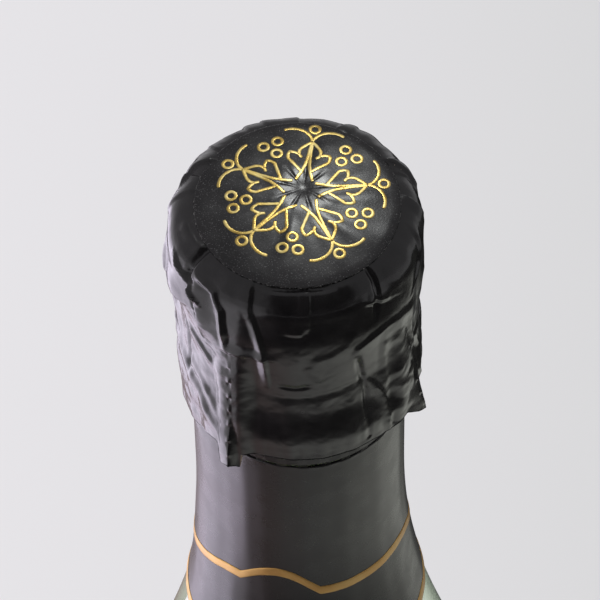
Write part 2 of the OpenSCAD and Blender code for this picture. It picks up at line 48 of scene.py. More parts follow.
PUNT_RISE = 34.0
FOOT_R = 35.0
HEEL_RISE = 9.0
HOLLOW_FOOT_R = 34.5
HOLLOW_FLOOR = 7.0
SIDE_TOP = 110.0
SHOULDER_TOP = 260.0
LIP_Z = 300.0


def clamp(t):
    """Keeps a share between 0 and 1."""
    return np.clip(t, 0.0, 1.0)


def ease(t):
    """A share that starts and ends level: three times its square less twice its cube."""
    t = clamp(t)
    return t * t * (3 - 2 * t)


def glass_share(z):
    """Share of the way from the neck's radius to the body's: the eased fall below the shoulder."""
    return ease(clamp((SHOULDER_TOP - z) / (SHOULDER_TOP - SIDE_TOP)) ** 1.1)


def glass_outside(z):
    """Radius of the outside of the glass, the neck's plus the shoulder's share of the rest."""
    return NECK_R + (BODY_R - NECK_R) * glass_share(z)


def round_edge(r, z, start, end, radius, count=9):
    """Points of an arc about (r, z) in the upright plane, between two angles in degrees."""
    a = np.radians(np.linspace(start, end, count))
    return np.stack([r + radius * np.cos(a), z + radius * np.sin(a)], axis=1)


def quads(rows, cols, closed_rows=False, closed_cols=False):
    """Corners of the squares between the points of a grid, numbered row by row."""
    i = np.arange(rows if closed_rows else rows - 1)[:, None]
    j = np.arange(cols if closed_cols else cols - 1)[None, :]
    down, across = (i + 1) % rows, (j + 1) % cols
    corners = [i * cols + j, i * cols + across, down * cols + across, down * cols + j]
    return np.stack([c.reshape(-1) for c in np.broadcast_arrays(*corners)], axis=1)


def enclosed(points, faces):
    """Six times the volume inside faces of four corners, negative if they point inwards."""
    a, b, c, d = (points[faces[:, k]] for k in range(4))
    one = np.einsum("ij,ij->i", a, np.cross(b, c))
    return float((one + np.einsum("ij,ij->i", a, np.cross(c, d))).sum())


def linked(name, data):
    """A new object with the given data, placed in the scene."""
    made = bpy.data.objects.new(name, data)
    bpy.context.scene.collection.objects.link(made)
    return made


def piece(name, points, faces, body, materials, replaced=(), marks=None, ends=()):
    """A mesh from points in millimetres and four-cornered faces, riding on a body. Faces that
    point inwards are turned over, and corners that fall together at a pole become one."""
    turned_over = enclosed(points, faces) < 0
    lists = (faces[:, ::-1] if turned_over else faces).tolist()
    lists += [(e[::-1] if turned_over else e) for e in ends]
    lists = [list(dict.fromkeys(f)) for f in lists]
    mesh = bpy.data.meshes.new(name)
    mesh.from_pydata((points * MM).tolist(), [], lists)
    for material in materials:
        mesh.materials.append(material)
    if marks is not None:
        mesh.polygons.foreach_set("material_index", np.asarray(marks, dtype=np.int32))
    mesh.polygons.foreach_set("use_smooth", np.ones(len(mesh.polygons), dtype=bool))
    mesh.update()
    made = linked(name, mesh)
    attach(made, body)
    if replaced:
        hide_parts(*replaced)
    return made


def turned(name, profile, body, materials, replaced, sides):
    """A half section of points (r, z), from the axis out and back to it, turned about the axis.
    A point on the axis stays one point, so the pole is closed."""
    profile = np.asarray(profile, dtype=float)
    on_axis = profile[:, 0] < 1e-6
    a = np.linspace(0, 2 * math.pi, sides, endpoint=False)
    grid = np.stack([profile[:, 0, None] * np.cos(a), profile[:, 0, None] * np.sin(a),
                     np.repeat(profile[:, 1, None], sides, axis=1)], axis=2)
    faces = quads(len(profile), sides, closed_rows=not on_axis.any(), closed_cols=True)
    row = faces // sides
    faces = np.where(on_axis[row], row * sides, faces)
    points = grid.reshape(-1, 3)
    used = np.unique(faces)
    place = np.zeros(len(points), dtype=int)
    place[used] = np.arange(len(used))
    return piece(name, points[used], place[faces], body, materials, replaced)


def make(tree, kind, **settings):
    """A new shader node with the given properties."""
    n = tree.nodes.new(kind)
    for key, value in settings.items():
        setattr(n, key, value)
    return n


def sums(tree, operation, *values):
    """A Math node whose inputs are numbers or sockets, and its result."""
    n = make(tree, "ShaderNodeMath", operation=operation)
    for k, value in enumerate(values):
        if isinstance(value, (int, float)):
            n.inputs[k].default_value = value
        else:
            tree.links.new(value, n.inputs[k])
    return n.outputs[0]


def ramp(tree, value, stops):
    """A colour ramp over a value, straight between its stops of (position, colour)."""
    n = make(tree, "ShaderNodeValToRGB")
    while len(n.color_ramp.elements) < len(stops):
        n.color_ramp.elements.new(0.5)
    for element, (where, colour) in zip(n.color_ramp.elements, stops):
        element.position = where
        element.color = (*colour, 1)
    tree.links.new(value, n.inputs[0])
    return n.outputs[0]


def noise(tree, coordinates, scale, detail=3.0, rough=0.5, twist=0.0):
    """Value of a noise over the given coordinates, with scale in waves per metre."""
    n = make(tree, "ShaderNodeTexNoise")
    n.inputs["Scale"].default_value = scale
    n.inputs["Detail"].default_value = detail
    n.inputs["Roughness"].default_value = rough
    n.inputs["Distortion"].default_value = twist
    tree.links.new(coordinates, n.inputs["Vector"])
    return n.outputs[0]


def stretched(tree, coordinates, x, y, z):
    """The coordinates with each axis scaled, for a pattern that runs along one of them."""
    n = make(tree, "ShaderNodeMapping")
    n.inputs["Scale"].default_value = (x, y, z)
    tree.links.new(coordinates, n.inputs["Vector"])
    return n.outputs[0]


def spread(tree, value, low, high, to_low, to_high):
    """A value carried from one range to another and kept inside it."""
    n = make(tree, "ShaderNodeMapRange")
    for k, v in enumerate((low, high, to_low, to_high)):
        n.inputs[k + 1].default_value = v
    tree.links.new(value, n.inputs[0])
    return n.outputs[0]


def new_finish(name, colour, roughness, metallic=0.0, **plain):
    """A material with its shader's constants set, and its tree, shader and object coordinates."""
    material = bpy.data.materials.new(name)
    material.use_nodes = True
    tree = material.node_tree
    shader = tree.nodes["Principled BSDF"]
    shader.inputs["Base Color"].default_value = (*colour, 1)
    shader.inputs["Roughness"].default_value = roughness
    shader.inputs["Metallic"].default_value = metallic
    for key, value in plain.items():
        shader.inputs[key.replace("_", " ")].default_value = value
    where = make(tree, "ShaderNodeTexCoord").outputs["Object"]
    return material, tree, shader, where


def bump(tree, shader, height, distance, strength=1.0):
    """Feeds a height in metres times distance into the shader's normal."""
    n = make(tree, "ShaderNodeBump")
    n.inputs["Distance"].default_value = distance
    n.inputs["Strength"].default_value = strength
    tree.links.new(height, n.inputs["Height"])
    tree.links.new(n.outputs[0], shader.inputs["Normal"])


def punt_points(rim, lift, count=34):
    """The dome under a bottle: its height falls with the distance's power 2.2 to the rim."""
    s = np.linspace(0, 1, count)
    return np.stack([rim * s, lift + PUNT_RISE * (1 - s ** 2.2)], axis=1)


def heel_points(start, end, lift, count=14):
    """A quarter of an oval from the foot out to the side wall."""
    a = np.radians(np.linspace(0, 90, count))
    return np.stack([start + (end - start) * np.sin(a), lift + HEEL_RISE * (1 - np.cos(a))],
                    axis=1)


def inside_points(gap, top, count=70):
    """The hollow's half section, from the middle of the punt up to the given height: the punt's
    dome, the heel, and the neck's bore plus the shoulder's share of the rest."""
    z = np.linspace(SIDE_TOP, top, count)
    side = BORE_R + (BODY_R - WALL - BORE_R) * glass_share(z) - gap
    foot, floor = HOLLOW_FOOT_R + gap, HOLLOW_FLOOR + gap
    return np.concatenate([punt_points(foot, floor),
                           heel_points(foot, BODY_R - WALL - gap, floor)[1:],
                           np.stack([side, z], axis=1)])


shoulder_z = np.linspace(SIDE_TOP, SHOULDER_TOP, 70)
mouth = np.concatenate([
    [[NECK_R, 283.0], [NECK_R + 0.25, 283.6], [NECK_R + 0.7, 284.0]],
    round_edge(15.2, 285.2, -90, 0, 1.2), round_edge(15.2, 287.8, 0, 90, 1.2),
    [[14.3, 289.05], [13.8, 289.35], [13.6, 289.9], [13.6, 292.8], [13.75, 293.3]],
    round_edge(13.85, 294.1, -80, 0, 0.6, 6),
    round_edge(13.25, LIP_Z - 1.2, 0, 90, 1.2), round_edge(10.1, LIP_Z - 1.2, 90, 180, 1.2)])
glass_profile = np.concatenate([
    punt_points(PUNT_R, 0)[:-1], [[30.9, 0.15], [31.4, 0.0], [34.6, 0.0]],
    heel_points(FOOT_R, BODY_R, 0), [[BODY_R, 40], [BODY_R, 80]],
    np.stack([glass_outside(shoulder_z), shoulder_z], axis=1), mouth,
    inside_points(0, SHOULDER_TOP)[::-1]])

green_glass, tree, shader, where = new_finish(
    "pale_green_glass", (0.62, 0.78, 0.58), 0.03, IOR=1.52, Transmission_Weight=1.0)
tint = noise(tree, where, 22, 2)
tree.links.new(ramp(tree, tint, [(0.35, (0.66, 0.79, 0.6)), (0.7, (0.73, 0.84, 0.68))]),
               shader.inputs["Base Color"])
ripple = sums(tree, "ADD", noise(tree, stretched(tree, where, 1, 1, 0.25), 60, 2),
              sums(tree, "MULTIPLY", noise(tree, where, 700, 3), 0.06))
bump(tree, shader, ripple, 0.0004, 0.5)
tree.links.new(spread(tree, noise(tree, where, 45, 5), 0.45, 0.75, 0.01, 0.05),
               shader.inputs["Roughness"])
turned("bottle_glass", glass_profile, "bottle", [green_glass],
       ["glass_bottle"], sides=144)

# Wine: pale gold and clear. It fills the glass to the middle of the neck, with a thin gap to the
# wall, and its surface turns up a little where it meets the glass.
wine_finish, tree, shader, where = new_finish(
    "pale_gold_wine", (0.86, 0.76, 0.42), 0.0, IOR=1.34, Transmission_Weight=1.0)
tree.links.new(ramp(tree, noise(tree, where, 18, 2),
                    [(0.3, (0.82, 0.70, 0.36)), (0.7, (0.9, 0.8, 0.48))]),
               shader.inputs["Base Color"])
bump(tree, shader, noise(tree, where, 90, 2), 0.0002, 0.3)
FILL_Z = 214.0
wine_body = inside_points(0.15, FILL_Z)
edge_of_wine = wine_body[-1, 0]
wine_top = np.stack([edge_of_wine * np.array([0.97, 0.9, 0.78, 0.5, 0]),
                     FILL_Z - np.array([0.35, 0.6, 0.72, 0.78, 0.8])], axis=1)
turned("sparkling_wine", np.concatenate([wine_body, wine_top]), "bottle",
       [wine_finish], ["wine"], sides=96)

# Cork: ground cork pressed and glued into a rod, with two discs of natural cork glued under it.
# The head swelled over the lip when it was driven in, and the shank stays squeezed in the bore.
SHANK_R = 8.82
CORK_R = 15.75
CORK_LOW = 288.04
HEAD_EDGE_R = 12.75
HEAD_EDGE_Z = 314.0
HEAD_TOP = 317.0
CORK_COLS = 160


def cork_surface(profile, sides, depth, seed):
    """Turned points pushed in by fixed random pits: waves in the angle and height, cut at zero."""
    rng = np.random.default_rng(seed)
    a = np.linspace(0, 2 * math.pi, sides, endpoint=False)
    r, z = profile[:, 0, None], profile[:, 1, None]
    pits = np.zeros((len(profile), sides))
    for _ in range(26):
        turns, rise, phase = rng.integers(3, 24), rng.uniform(-2.4, 2.4), rng.uniform(0, 6.28)
        pits += np.sin(turns * a + rise * z + phase)
    pushed = r - depth * clamp(pits / 9 - 0.25) * np.minimum(1, r / 4)
    return np.stack([pushed * np.cos(a), pushed * np.sin(a), z + 0 * a], axis=2)


def mixed(tree, share, a, b):
    """A colour between two others, each a colour or a socket."""
    n = make(tree, "ShaderNodeMix", data_type="RGBA")
    for socket, value in ((n.inputs[0], share), (n.inputs[6], a), (n.inputs[7], b)):
        if isinstance(value, bpy.types.NodeSocket):
            tree.links.new(value, socket)
        else:
            socket.default_value = value if isinstance(value, float) else (*value, 1)
    return n.outputs[2]


# Shared effect: fine pressed grain, as a height, and broad patches that carry the roughness from
# Low to High. Both scales are in waves per metre.
GRAIN_INPUTS = ("Scale", "Patch Scale", "Low", "High")
surface_grain = bpy.data.node_groups.new("surface_grain", "ShaderNodeTree")
for g_label in GRAIN_INPUTS:
    surface_grain.interface.new_socket(name=g_label, in_out="INPUT",
                                       socket_type="NodeSocketFloat")
for g_label in ("Height", "Roughness", "Patches"):
    surface_grain.interface.new_socket(name=g_label, in_out="OUTPUT",
                                       socket_type="NodeSocketFloat")
g_in = make(surface_grain, "NodeGroupInput")
g_out = make(surface_grain, "NodeGroupOutput")
g_where = make(surface_grain, "ShaderNodeTexCoord").outputs["Object"]
g_fine = make(surface_grain, "ShaderNodeTexNoise")
g_fine.inputs["Detail"].default_value = 2.5
g_broad = make(surface_grain, "ShaderNodeTexNoise")
g_broad.inputs["Detail"].default_value = 4.0
for g_node, g_label in ((g_fine, "Scale"), (g_broad, "Patch Scale")):
    surface_grain.links.new(g_where, g_node.inputs["Vector"])
    surface_grain.links.new(g_in.outputs[g_label], g_node.inputs["Scale"])
g_rough = make(surface_grain, "ShaderNodeMapRange")
g_rough.inputs[1].default_value = 0.3
g_rough.inputs[2].default_value = 0.7
surface_grain.links.new(g_broad.outputs[0], g_rough.inputs[0])
surface_grain.links.new(g_in.outputs["Low"], g_rough.inputs[3])
surface_grain.links.new(g_in.outputs["High"], g_rough.inputs[4])
surface_grain.links.new(g_fine.outputs[0], g_out.inputs["Height"])
surface_grain.links.new(g_rough.outputs[0], g_out.inputs["Roughness"])
surface_grain.links.new(g_broad.outputs[0], g_out.inputs["Patches"])


def grain(tree, *values):
    """Places the grain group in a material with its own four values, and gives its outputs."""
    n = make(tree, "ShaderNodeGroup", node_tree=surface_grain)
    for label, value in zip(GRAIN_INPUTS, values):
        n.inputs[label].default_value = value
    return n.outputs


def pressed_cork(name, light, mid, dark, scale):
    """Granules as bent cells of mixed browns with faint seams, dark crumbs of bark between them,
    and pits where a granule fell out."""
    material, tree, shader, where = new_finish(name, mid, 0.82, Specular_IOR_Level=0.25)
    bend = make(tree, "ShaderNodeTexNoise")
    bend.inputs["Scale"].default_value = 1400
    tree.links.new(where, bend.inputs["Vector"])
    bent = make(tree, "ShaderNodeVectorMath", operation="MULTIPLY_ADD")
    tree.links.new(bend.outputs["Color"], bent.inputs[0])
    bent.inputs[1].default_value = (0.0011, 0.0011, 0.0011)
    tree.links.new(where, bent.inputs[2])
    cell = make(tree, "ShaderNodeTexVoronoi")
    seam = make(tree, "ShaderNodeTexVoronoi", feature="DISTANCE_TO_EDGE")
    for n in (cell, seam):
        n.inputs["Scale"].default_value = scale
        tree.links.new(bent.outputs[0], n.inputs["Vector"])
    grey = make(tree, "ShaderNodeRGBToBW")
    tree.links.new(cell.outputs["Color"], grey.inputs[0])
    body = ramp(tree, grey.outputs[0], [(0.1, dark), (0.35, mid), (0.9, light)])
    gaps = spread(tree, seam.outputs["Distance"], 0.0, 0.09, 0.55, 1.0)
    glued = mixed(tree, gaps, (0.24, 0.13, 0.065), body)
    crumbs = spread(tree, noise(tree, where, 1500, 2), 0.62, 0.68, 0.0, 0.85)
    tree.links.new(mixed(tree, crumbs, glued, (0.13, 0.065, 0.03)), shader.inputs["Base Color"])
    flesh = grain(tree, 4500, 300, 0.7, 0.92)
    height = sums(tree, "ADD", gaps, sums(tree, "MULTIPLY", flesh["Height"], 0.35))
    bump(tree, shader, height, 0.00018, 0.8)
    tree.links.new(flesh["Roughness"], shader.inputs["Roughness"])
    return material


ground_cork = pressed_cork("ground_cork", (0.66, 0.45, 0.26), (0.5, 0.31, 0.165),
                           (0.33, 0.19, 0.1), 620)
swell = round_edge(SHANK_R, 306.3, -90, 0, 1, 14)
swell = np.stack([SHANK_R + (CORK_R - SHANK_R) * (swell[:, 0] - SHANK_R),
                  300.3 + 6 * (1 + (swell[:, 1] - 306.3))], axis=1)
cork_profile = np.concatenate([
    [[0, CORK_LOW], [4, CORK_LOW], [SHANK_R - 0.15, CORK_LOW], [SHANK_R, 288.2]],
    np.stack([np.full(16, SHANK_R), np.linspace(288.8, 299.8, 16)], axis=1), swell,
    np.stack([np.full(10, CORK_R), np.linspace(306.9, 313.4, 10)], axis=1),
    round_edge(HEAD_EDGE_R, HEAD_EDGE_Z, 0, 90, 3, 10),
    [[9, HEAD_TOP], [4.5, HEAD_TOP], [0, HEAD_TOP]]])
cork_grid = cork_surface(cork_profile, CORK_COLS, 0.14, 5)
piece("cork_rod", cork_grid.reshape(-1, 3),
      quads(len(cork_profile), CORK_COLS, closed_cols=True), "cork",
      [ground_cork], ["cork_body"])

natural_cork, tree, shader, where = new_finish("natural_cork", (0.62, 0.42, 0.24), 0.8,
                                               Specular_IOR_Level=0.25)
rings = noise(tree, stretched(tree, where, 1, 0.25, 0.25), 900, 4, 0.6, 0.4)
pores = noise(tree, stretched(tree, where, 1, 0.5, 0.12), 1500, 2)
cork_tone = ramp(tree, rings, [(0.3, (0.46, 0.28, 0.15)), (0.7, (0.68, 0.48, 0.29))])
pore_mask = spread(tree, pores, 0.64, 0.7, 0.0, 1.0)
tree.links.new(mixed(tree, pore_mask, cork_tone, (0.13, 0.07, 0.04)), shader.inputs["Base Color"])
bump(tree, shader, sums(tree, "SUBTRACT", rings, pore_mask), 0.00012, 0.7)
for disc_name, disc_low in (("cork_disc_lower", 276.0), ("cork_disc_upper", 282.02)):
    disc = [[0, disc_low], [SHANK_R - 0.35, disc_low], [SHANK_R - 0.08, disc_low + 0.12],
            [SHANK_R, disc_low + 0.4], [SHANK_R, disc_low + 5.6],
            [SHANK_R - 0.08, disc_low + 5.88], [SHANK_R - 0.35, disc_low + 6], [0, disc_low + 6]]
    turned(disc_name + "_slice", disc, "cork", [natural_cork], [disc_name],
           sides=96)

# Plaque: a round of lacquered tinplate that keeps the wire out of the cork. It is stamped with
# plain ridges and bent down over the cork's edge at its rim.


def grained(finish, grains, tones, depth, strength=1.0, relief=None):
    """A finish whose colour runs over tones with the grain's patches, whose gloss follows them,
    and whose height is the grain plus a relief of its own."""
    material, tree, shader, where = finish
    film = grain(tree, *grains)
    tree.links.new(ramp(tree, film["Patches"], tones), shader.inputs["Base Color"])
    tree.links.new(film["Roughness"], shader.inputs["Roughness"])
    height = sums(tree, "ADD", film["Height"], relief(tree, where)) if relief else film["Height"]
    bump(tree, shader, height, depth, strength)
    return material


def scratches(tree, where):
    """Fine noise drawn out along x."""
    return noise(tree, stretched(tree, where, 0.08, 1, 1), 2400, 3)


plaque_lacquer = grained(
    new_finish("gold_lacquered_tin", (0.62, 0.46, 0.17), 0.3, 0.9, Coat_Weight=0.4,
               Coat_Roughness=0.12),
    (2600, 160, 0.22, 0.42), [(0.3, (0.52, 0.37, 0.12)), (0.7, (0.72, 0.55, 0.22))],
    0.000006, 0.5, scratches)


def plaque_side(out, ridge):
    """One face of the plaque: a low dome with three ridges, then an arc round the cork's edge."""
    s = np.linspace(0, 1, 60)
    r = HEAD_EDGE_R * s * 0.93
    wave = ridge * (np.exp(-((r - 4) / 0.35) ** 2) + np.exp(-((r - 8.6) / 0.3) ** 2)
                    + np.exp(-((r - 9.6) / 0.3) ** 2))
    top = np.stack([r, HEAD_EDGE_Z + out + 0.8 * (1 - ease(s)) + wave], axis=1)
    return np.concatenate([top, round_edge(HEAD_EDGE_R, HEAD_EDGE_Z, 90, 40, out, 14)])


turned("wire_plaque", np.concatenate([plaque_side(3.35, 0.12), plaque_side(3.05, 0.1)[::-1]]),
       "cage", [plaque_lacquer], ["plaque"], sides=120)

# Wire cage: a ring on the plaque and four legs of two thin strands, five twists each, that end in
# eyes round a thicker belt wire hooked under the glass ring. All of it is galvanised steel.
LEG_TURNS = (-34, 56, 146, 236)
LEG_R = 16.5
LEG_LOW_R = 17.15
RING_R, RING_Z = 13.3, 317.75
BELT_R, BELT_Z = 16.05, 282.6
THIN_WIRE = 0.35
BELT_WIRE = 0.6
STRAND_WIRE = 0.335
STRAND_OUT = 0.364
TWISTS = 5
galvanised = grained(
    new_finish("galvanised_wire", (0.56, 0.56, 0.58), 0.34, 1.0), (2200, 700, 0.26, 0.5),
    [(0.3, (0.42, 0.42, 0.44)), (0.7, (0.68, 0.68, 0.7))], 0.00001, 0.6)


def end_caps(rings, sides):
    """The first and the last ring of an open tube's corners as two faces that look outwards."""
    last = (rings - 1) * sides
    return [list(range(sides)), list(range(last + sides - 1, last - 1, -1))]


def tube(path, radius, outward, sides=10, closed=False):
    """Points, faces and end faces of a round wire along a path: circles set square to it, each
    started from the part of the given outward direction that is square to the path."""
    along = np.gradient(path, axis=0)
    if closed:
        along = np.roll(path, -1, axis=0) - np.roll(path, 1, axis=0)
    along /= np.linalg.norm(along, axis=1, keepdims=True)
    first = outward - along * np.sum(outward * along, axis=1, keepdims=True)
    first /= np.linalg.norm(first, axis=1, keepdims=True)
    second = np.cross(along, first)
    a = np.linspace(0, 2 * math.pi, sides, endpoint=False)[None, :, None]
    points = path[:, None] + radius * (np.cos(a) * first[:, None] + np.sin(a) * second[:, None])
    faces = quads(len(path), sides, closed_rows=closed, closed_cols=True)
    return points.reshape(-1, 3), faces, [] if closed else end_caps(len(path), sides)


def joined(parts):
    """Several meshes as one, with the corner numbers of each moved past those before it."""
    starts = np.cumsum([0] + [len(p) for p, _, _ in parts])
    points = np.concatenate([p for p, _, _ in parts])
    faces = np.concatenate([f + s for (_, f, _), s in zip(parts, starts)])
    caps = [[int(k + s) for k in cap] for (_, _, cs), s in zip(parts, starts) for cap in cs]
    return points, faces, caps


def about(turn, r, z):
    """Points at a turn in degrees from the front, a distance from the axis and a height."""
    t = np.radians(turn)
    return np.stack(np.broadcast_arrays(r * np.sin(t), -r * np.cos(t), z), axis=-1)


def leg_strand(turn, start):
    """One strand of a leg: the leg's middle line, and round it a spiral of five turns, straight
    until it is past the bend over the cork's edge."""
    straight = 6.2
    line = np.concatenate([[[RING_R, RING_Z]],
                           round_edge(HEAD_EDGE_R, HEAD_EDGE_Z, 84, 0, 3.75, 22),
                           [[LEG_R, 308.5], [16.56, 306], [17.1, 290.5], [LEG_LOW_R, 289],
                            [LEG_LOW_R, 284.05]]])
    steps = np.r_[0, np.cumsum(np.linalg.norm(np.diff(line, axis=0), axis=1))]
    s = np.linspace(0, steps[-1], 240)
    r, z = np.interp(s, steps, line[:, 0]), np.interp(s, steps, line[:, 1])
    dr, dz = np.gradient(r, s), np.gradient(z, s)
    size = np.hypot(dr, dz)
    side = about(turn + 90, 1.0, 0.0)
    up = about(turn, dz / size, -dr / size)
    twisted = clamp((s - straight) / (steps[-1] - straight))
    phase = np.radians(start) + 2 * TWISTS * math.pi * twisted
    middle = about(turn, r, z)
    path = middle + STRAND_OUT * (np.cos(phase)[:, None] * side + np.sin(phase)[:, None] * up)
    return tube(path, STRAND_WIRE, up)


round_turn = np.linspace(0, 360, 120, endpoint=False)
all_round = about(round_turn, 1.0, 0.0)
crown_ring = tube(about(round_turn, RING_R, RING_Z), THIN_WIRE, all_round, closed=True)
points, faces, caps = joined([leg_strand(t, a) for t in LEG_TURNS for a in (0, 180)]
                             + [crown_ring])
piece("cage_wires", points, faces, "cage", [galvanised], ["wire_frame"],
      ends=caps)


def leg_eye(turn):
    """The ring in which a leg ends: a circle of radius 1 mm in the leg's upright plane."""
    a = np.linspace(0, 2 * math.pi, 32, endpoint=False)
    path = about(turn, BELT_R + np.cos(a), BELT_Z + np.sin(a))
    return tube(path, THIN_WIRE, path - about(turn, BELT_R, BELT_Z), closed=True)


points, faces, caps = joined([leg_eye(t) for t in LEG_TURNS])
piece("cage_eyes", points, faces, "cage", [galvanised], ["leg_eyes"])
points, faces, caps = tube(about(round_turn, BELT_R, BELT_Z), BELT_WIRE, all_round, 14,
                           closed=True)
piece("cage_belt", points, faces, "cage", [galvanised], ["wire_belt"])

# Wire loop: the belt's two ends twisted together and left as an open eye. It is folded up flat
# against the neck, under the foil at the back, and is what a hand untwists.
LOOP_TURN = -169
LOOP_R = 17.85
LOOP_FOOT = 283.3
SHANK = 7.0
EYE_WIDE, EYE_HIGH = 3.8, 4.5
# The path goes up one strand of a double spiral, round the eye, and down the other strand.
loop_h = np.linspace(0, SHANK, 30)
loop_a = 4 * math.pi * (1 - loop_h / SHANK)
eye_a = np.linspace(0, 2 * math.pi, 60)
loop_side = np.concatenate([BELT_WIRE * np.cos(loop_a),
                            BELT_WIRE * np.cos(eye_a / 2) + EYE_WIDE * np.sin(eye_a),
                            -BELT_WIRE * np.cos(loop_a[::-1])])
loop_up = np.concatenate([loop_h, SHANK + EYE_HIGH * (1 - np.cos(eye_a)), loop_h[::-1]])
loop_out = np.concatenate([BELT_WIRE * np.sin(loop_a), 0 * eye_a,
                           -BELT_WIRE * np.sin(loop_a[::-1])])
keep = np.r_[True, np.hypot(np.diff(loop_side), np.diff(loop_up)) > 1e-6]
lean = -1.3 * clamp((loop_up - SHANK) / (2 * EYE_HIGH))
loop_path = about(LOOP_TURN, LOOP_R + lean + loop_out, LOOP_FOOT + loop_up)
loop_path = (loop_path + loop_side[:, None] * about(LOOP_TURN + 90, 1.0, 0.0))[keep]
points, faces, caps = tube(loop_path, 0.96 * BELT_WIRE, about(LOOP_TURN, 1.0, 0.0)[None], 12)
piece("cage_loop", points, faces, "loop", [galvanised], ["wire_loop"],
      ends=caps)

# Foil hood: thin aluminium foil lacquered black outside, bare and coppery inside, pressed over
# cork and cage by a pleating head. It stands out in a ridge over each leg, and each ridge folds
# into a fin with a torn edge at the bottom.
ROLL_R = 4.45
ROLL_ARC = 7.0
HOOD_TOP = 318.45
HOOD_LIP = 282.35
SKIRT_R = 17.3
ARC_PER_DEGREE = 0.302
LIP_PLAIN = 31.65
FINS = ((-34, -33, 24, 5.5), (56, 68, 24, 8), (146, 148, 20, 8), (236, 232, 8, 20))
SKIRT = ((314, 17.2), (307, 17.3), (296, 16.75), (292.5, 16.75), (285.2, 17.35), (282.35, 17.2),
         (277, 17.1))


def turn_off(a, b):
    """How far turn a is past turn b, between -180 and 180 degrees."""
    return (a - b + 180) % 360 - 180


def below_head(z):
    """Share of the way down the fins, from 10 mm under the head's edge to their tips."""
    return clamp((304.02 - z) / 26.25)


def fin_shape(turn, low):
    """Height share of the fins: for each, a slope up to its crest and one down from it, with
    the crest moving from its upper turn to its lower one."""
    best = np.zeros(np.broadcast(turn, low).shape)
    for top, tip, low_side, high_side in FINS:
        d = turn_off(turn, top + (tip - top) * low)
        best = np.maximum(best, np.where(d < 0, clamp(1 + d / low_side), clamp(1 - d / high_side)))
    return best


def hood_radius(turn, z):
    """Distance of the hood from the axis: the eased skirt, and the most that a leg's ridge, a
    fin or the folded loop pushes it out there."""
    base = np.full(np.broadcast(turn, z).shape, SKIRT[0][1])
    for (z0, r0), (z1, r1) in zip(SKIRT[:-1], SKIRT[1:]):
        base = np.where(z < z0, r0 + (r1 - r0) * ease((z0 - z) / (z0 - z1)), base)
    leg = LEG_R + (LEG_LOW_R - LEG_R) * clamp((308 - z) / 19) + 1.05
    low = below_head(z)
    near = np.max([ease(1 - clamp((abs(turn_off(turn, t)) - 4) / 9)) + 0 * z for t in LEG_TURNS],
                  axis=0)
    fin = fin_shape(turn, low) * ease(low)
    loop = ease(1 - clamp((abs(turn_off(turn, LOOP_TURN)) - 19) / 10))
    return np.max([base, base + (leg - base) * near, base + (leg + 1.3 * low - base) * fin,
                   base + (20.3 - base) * ease((304.3 - z) / 12) * loop], axis=0)


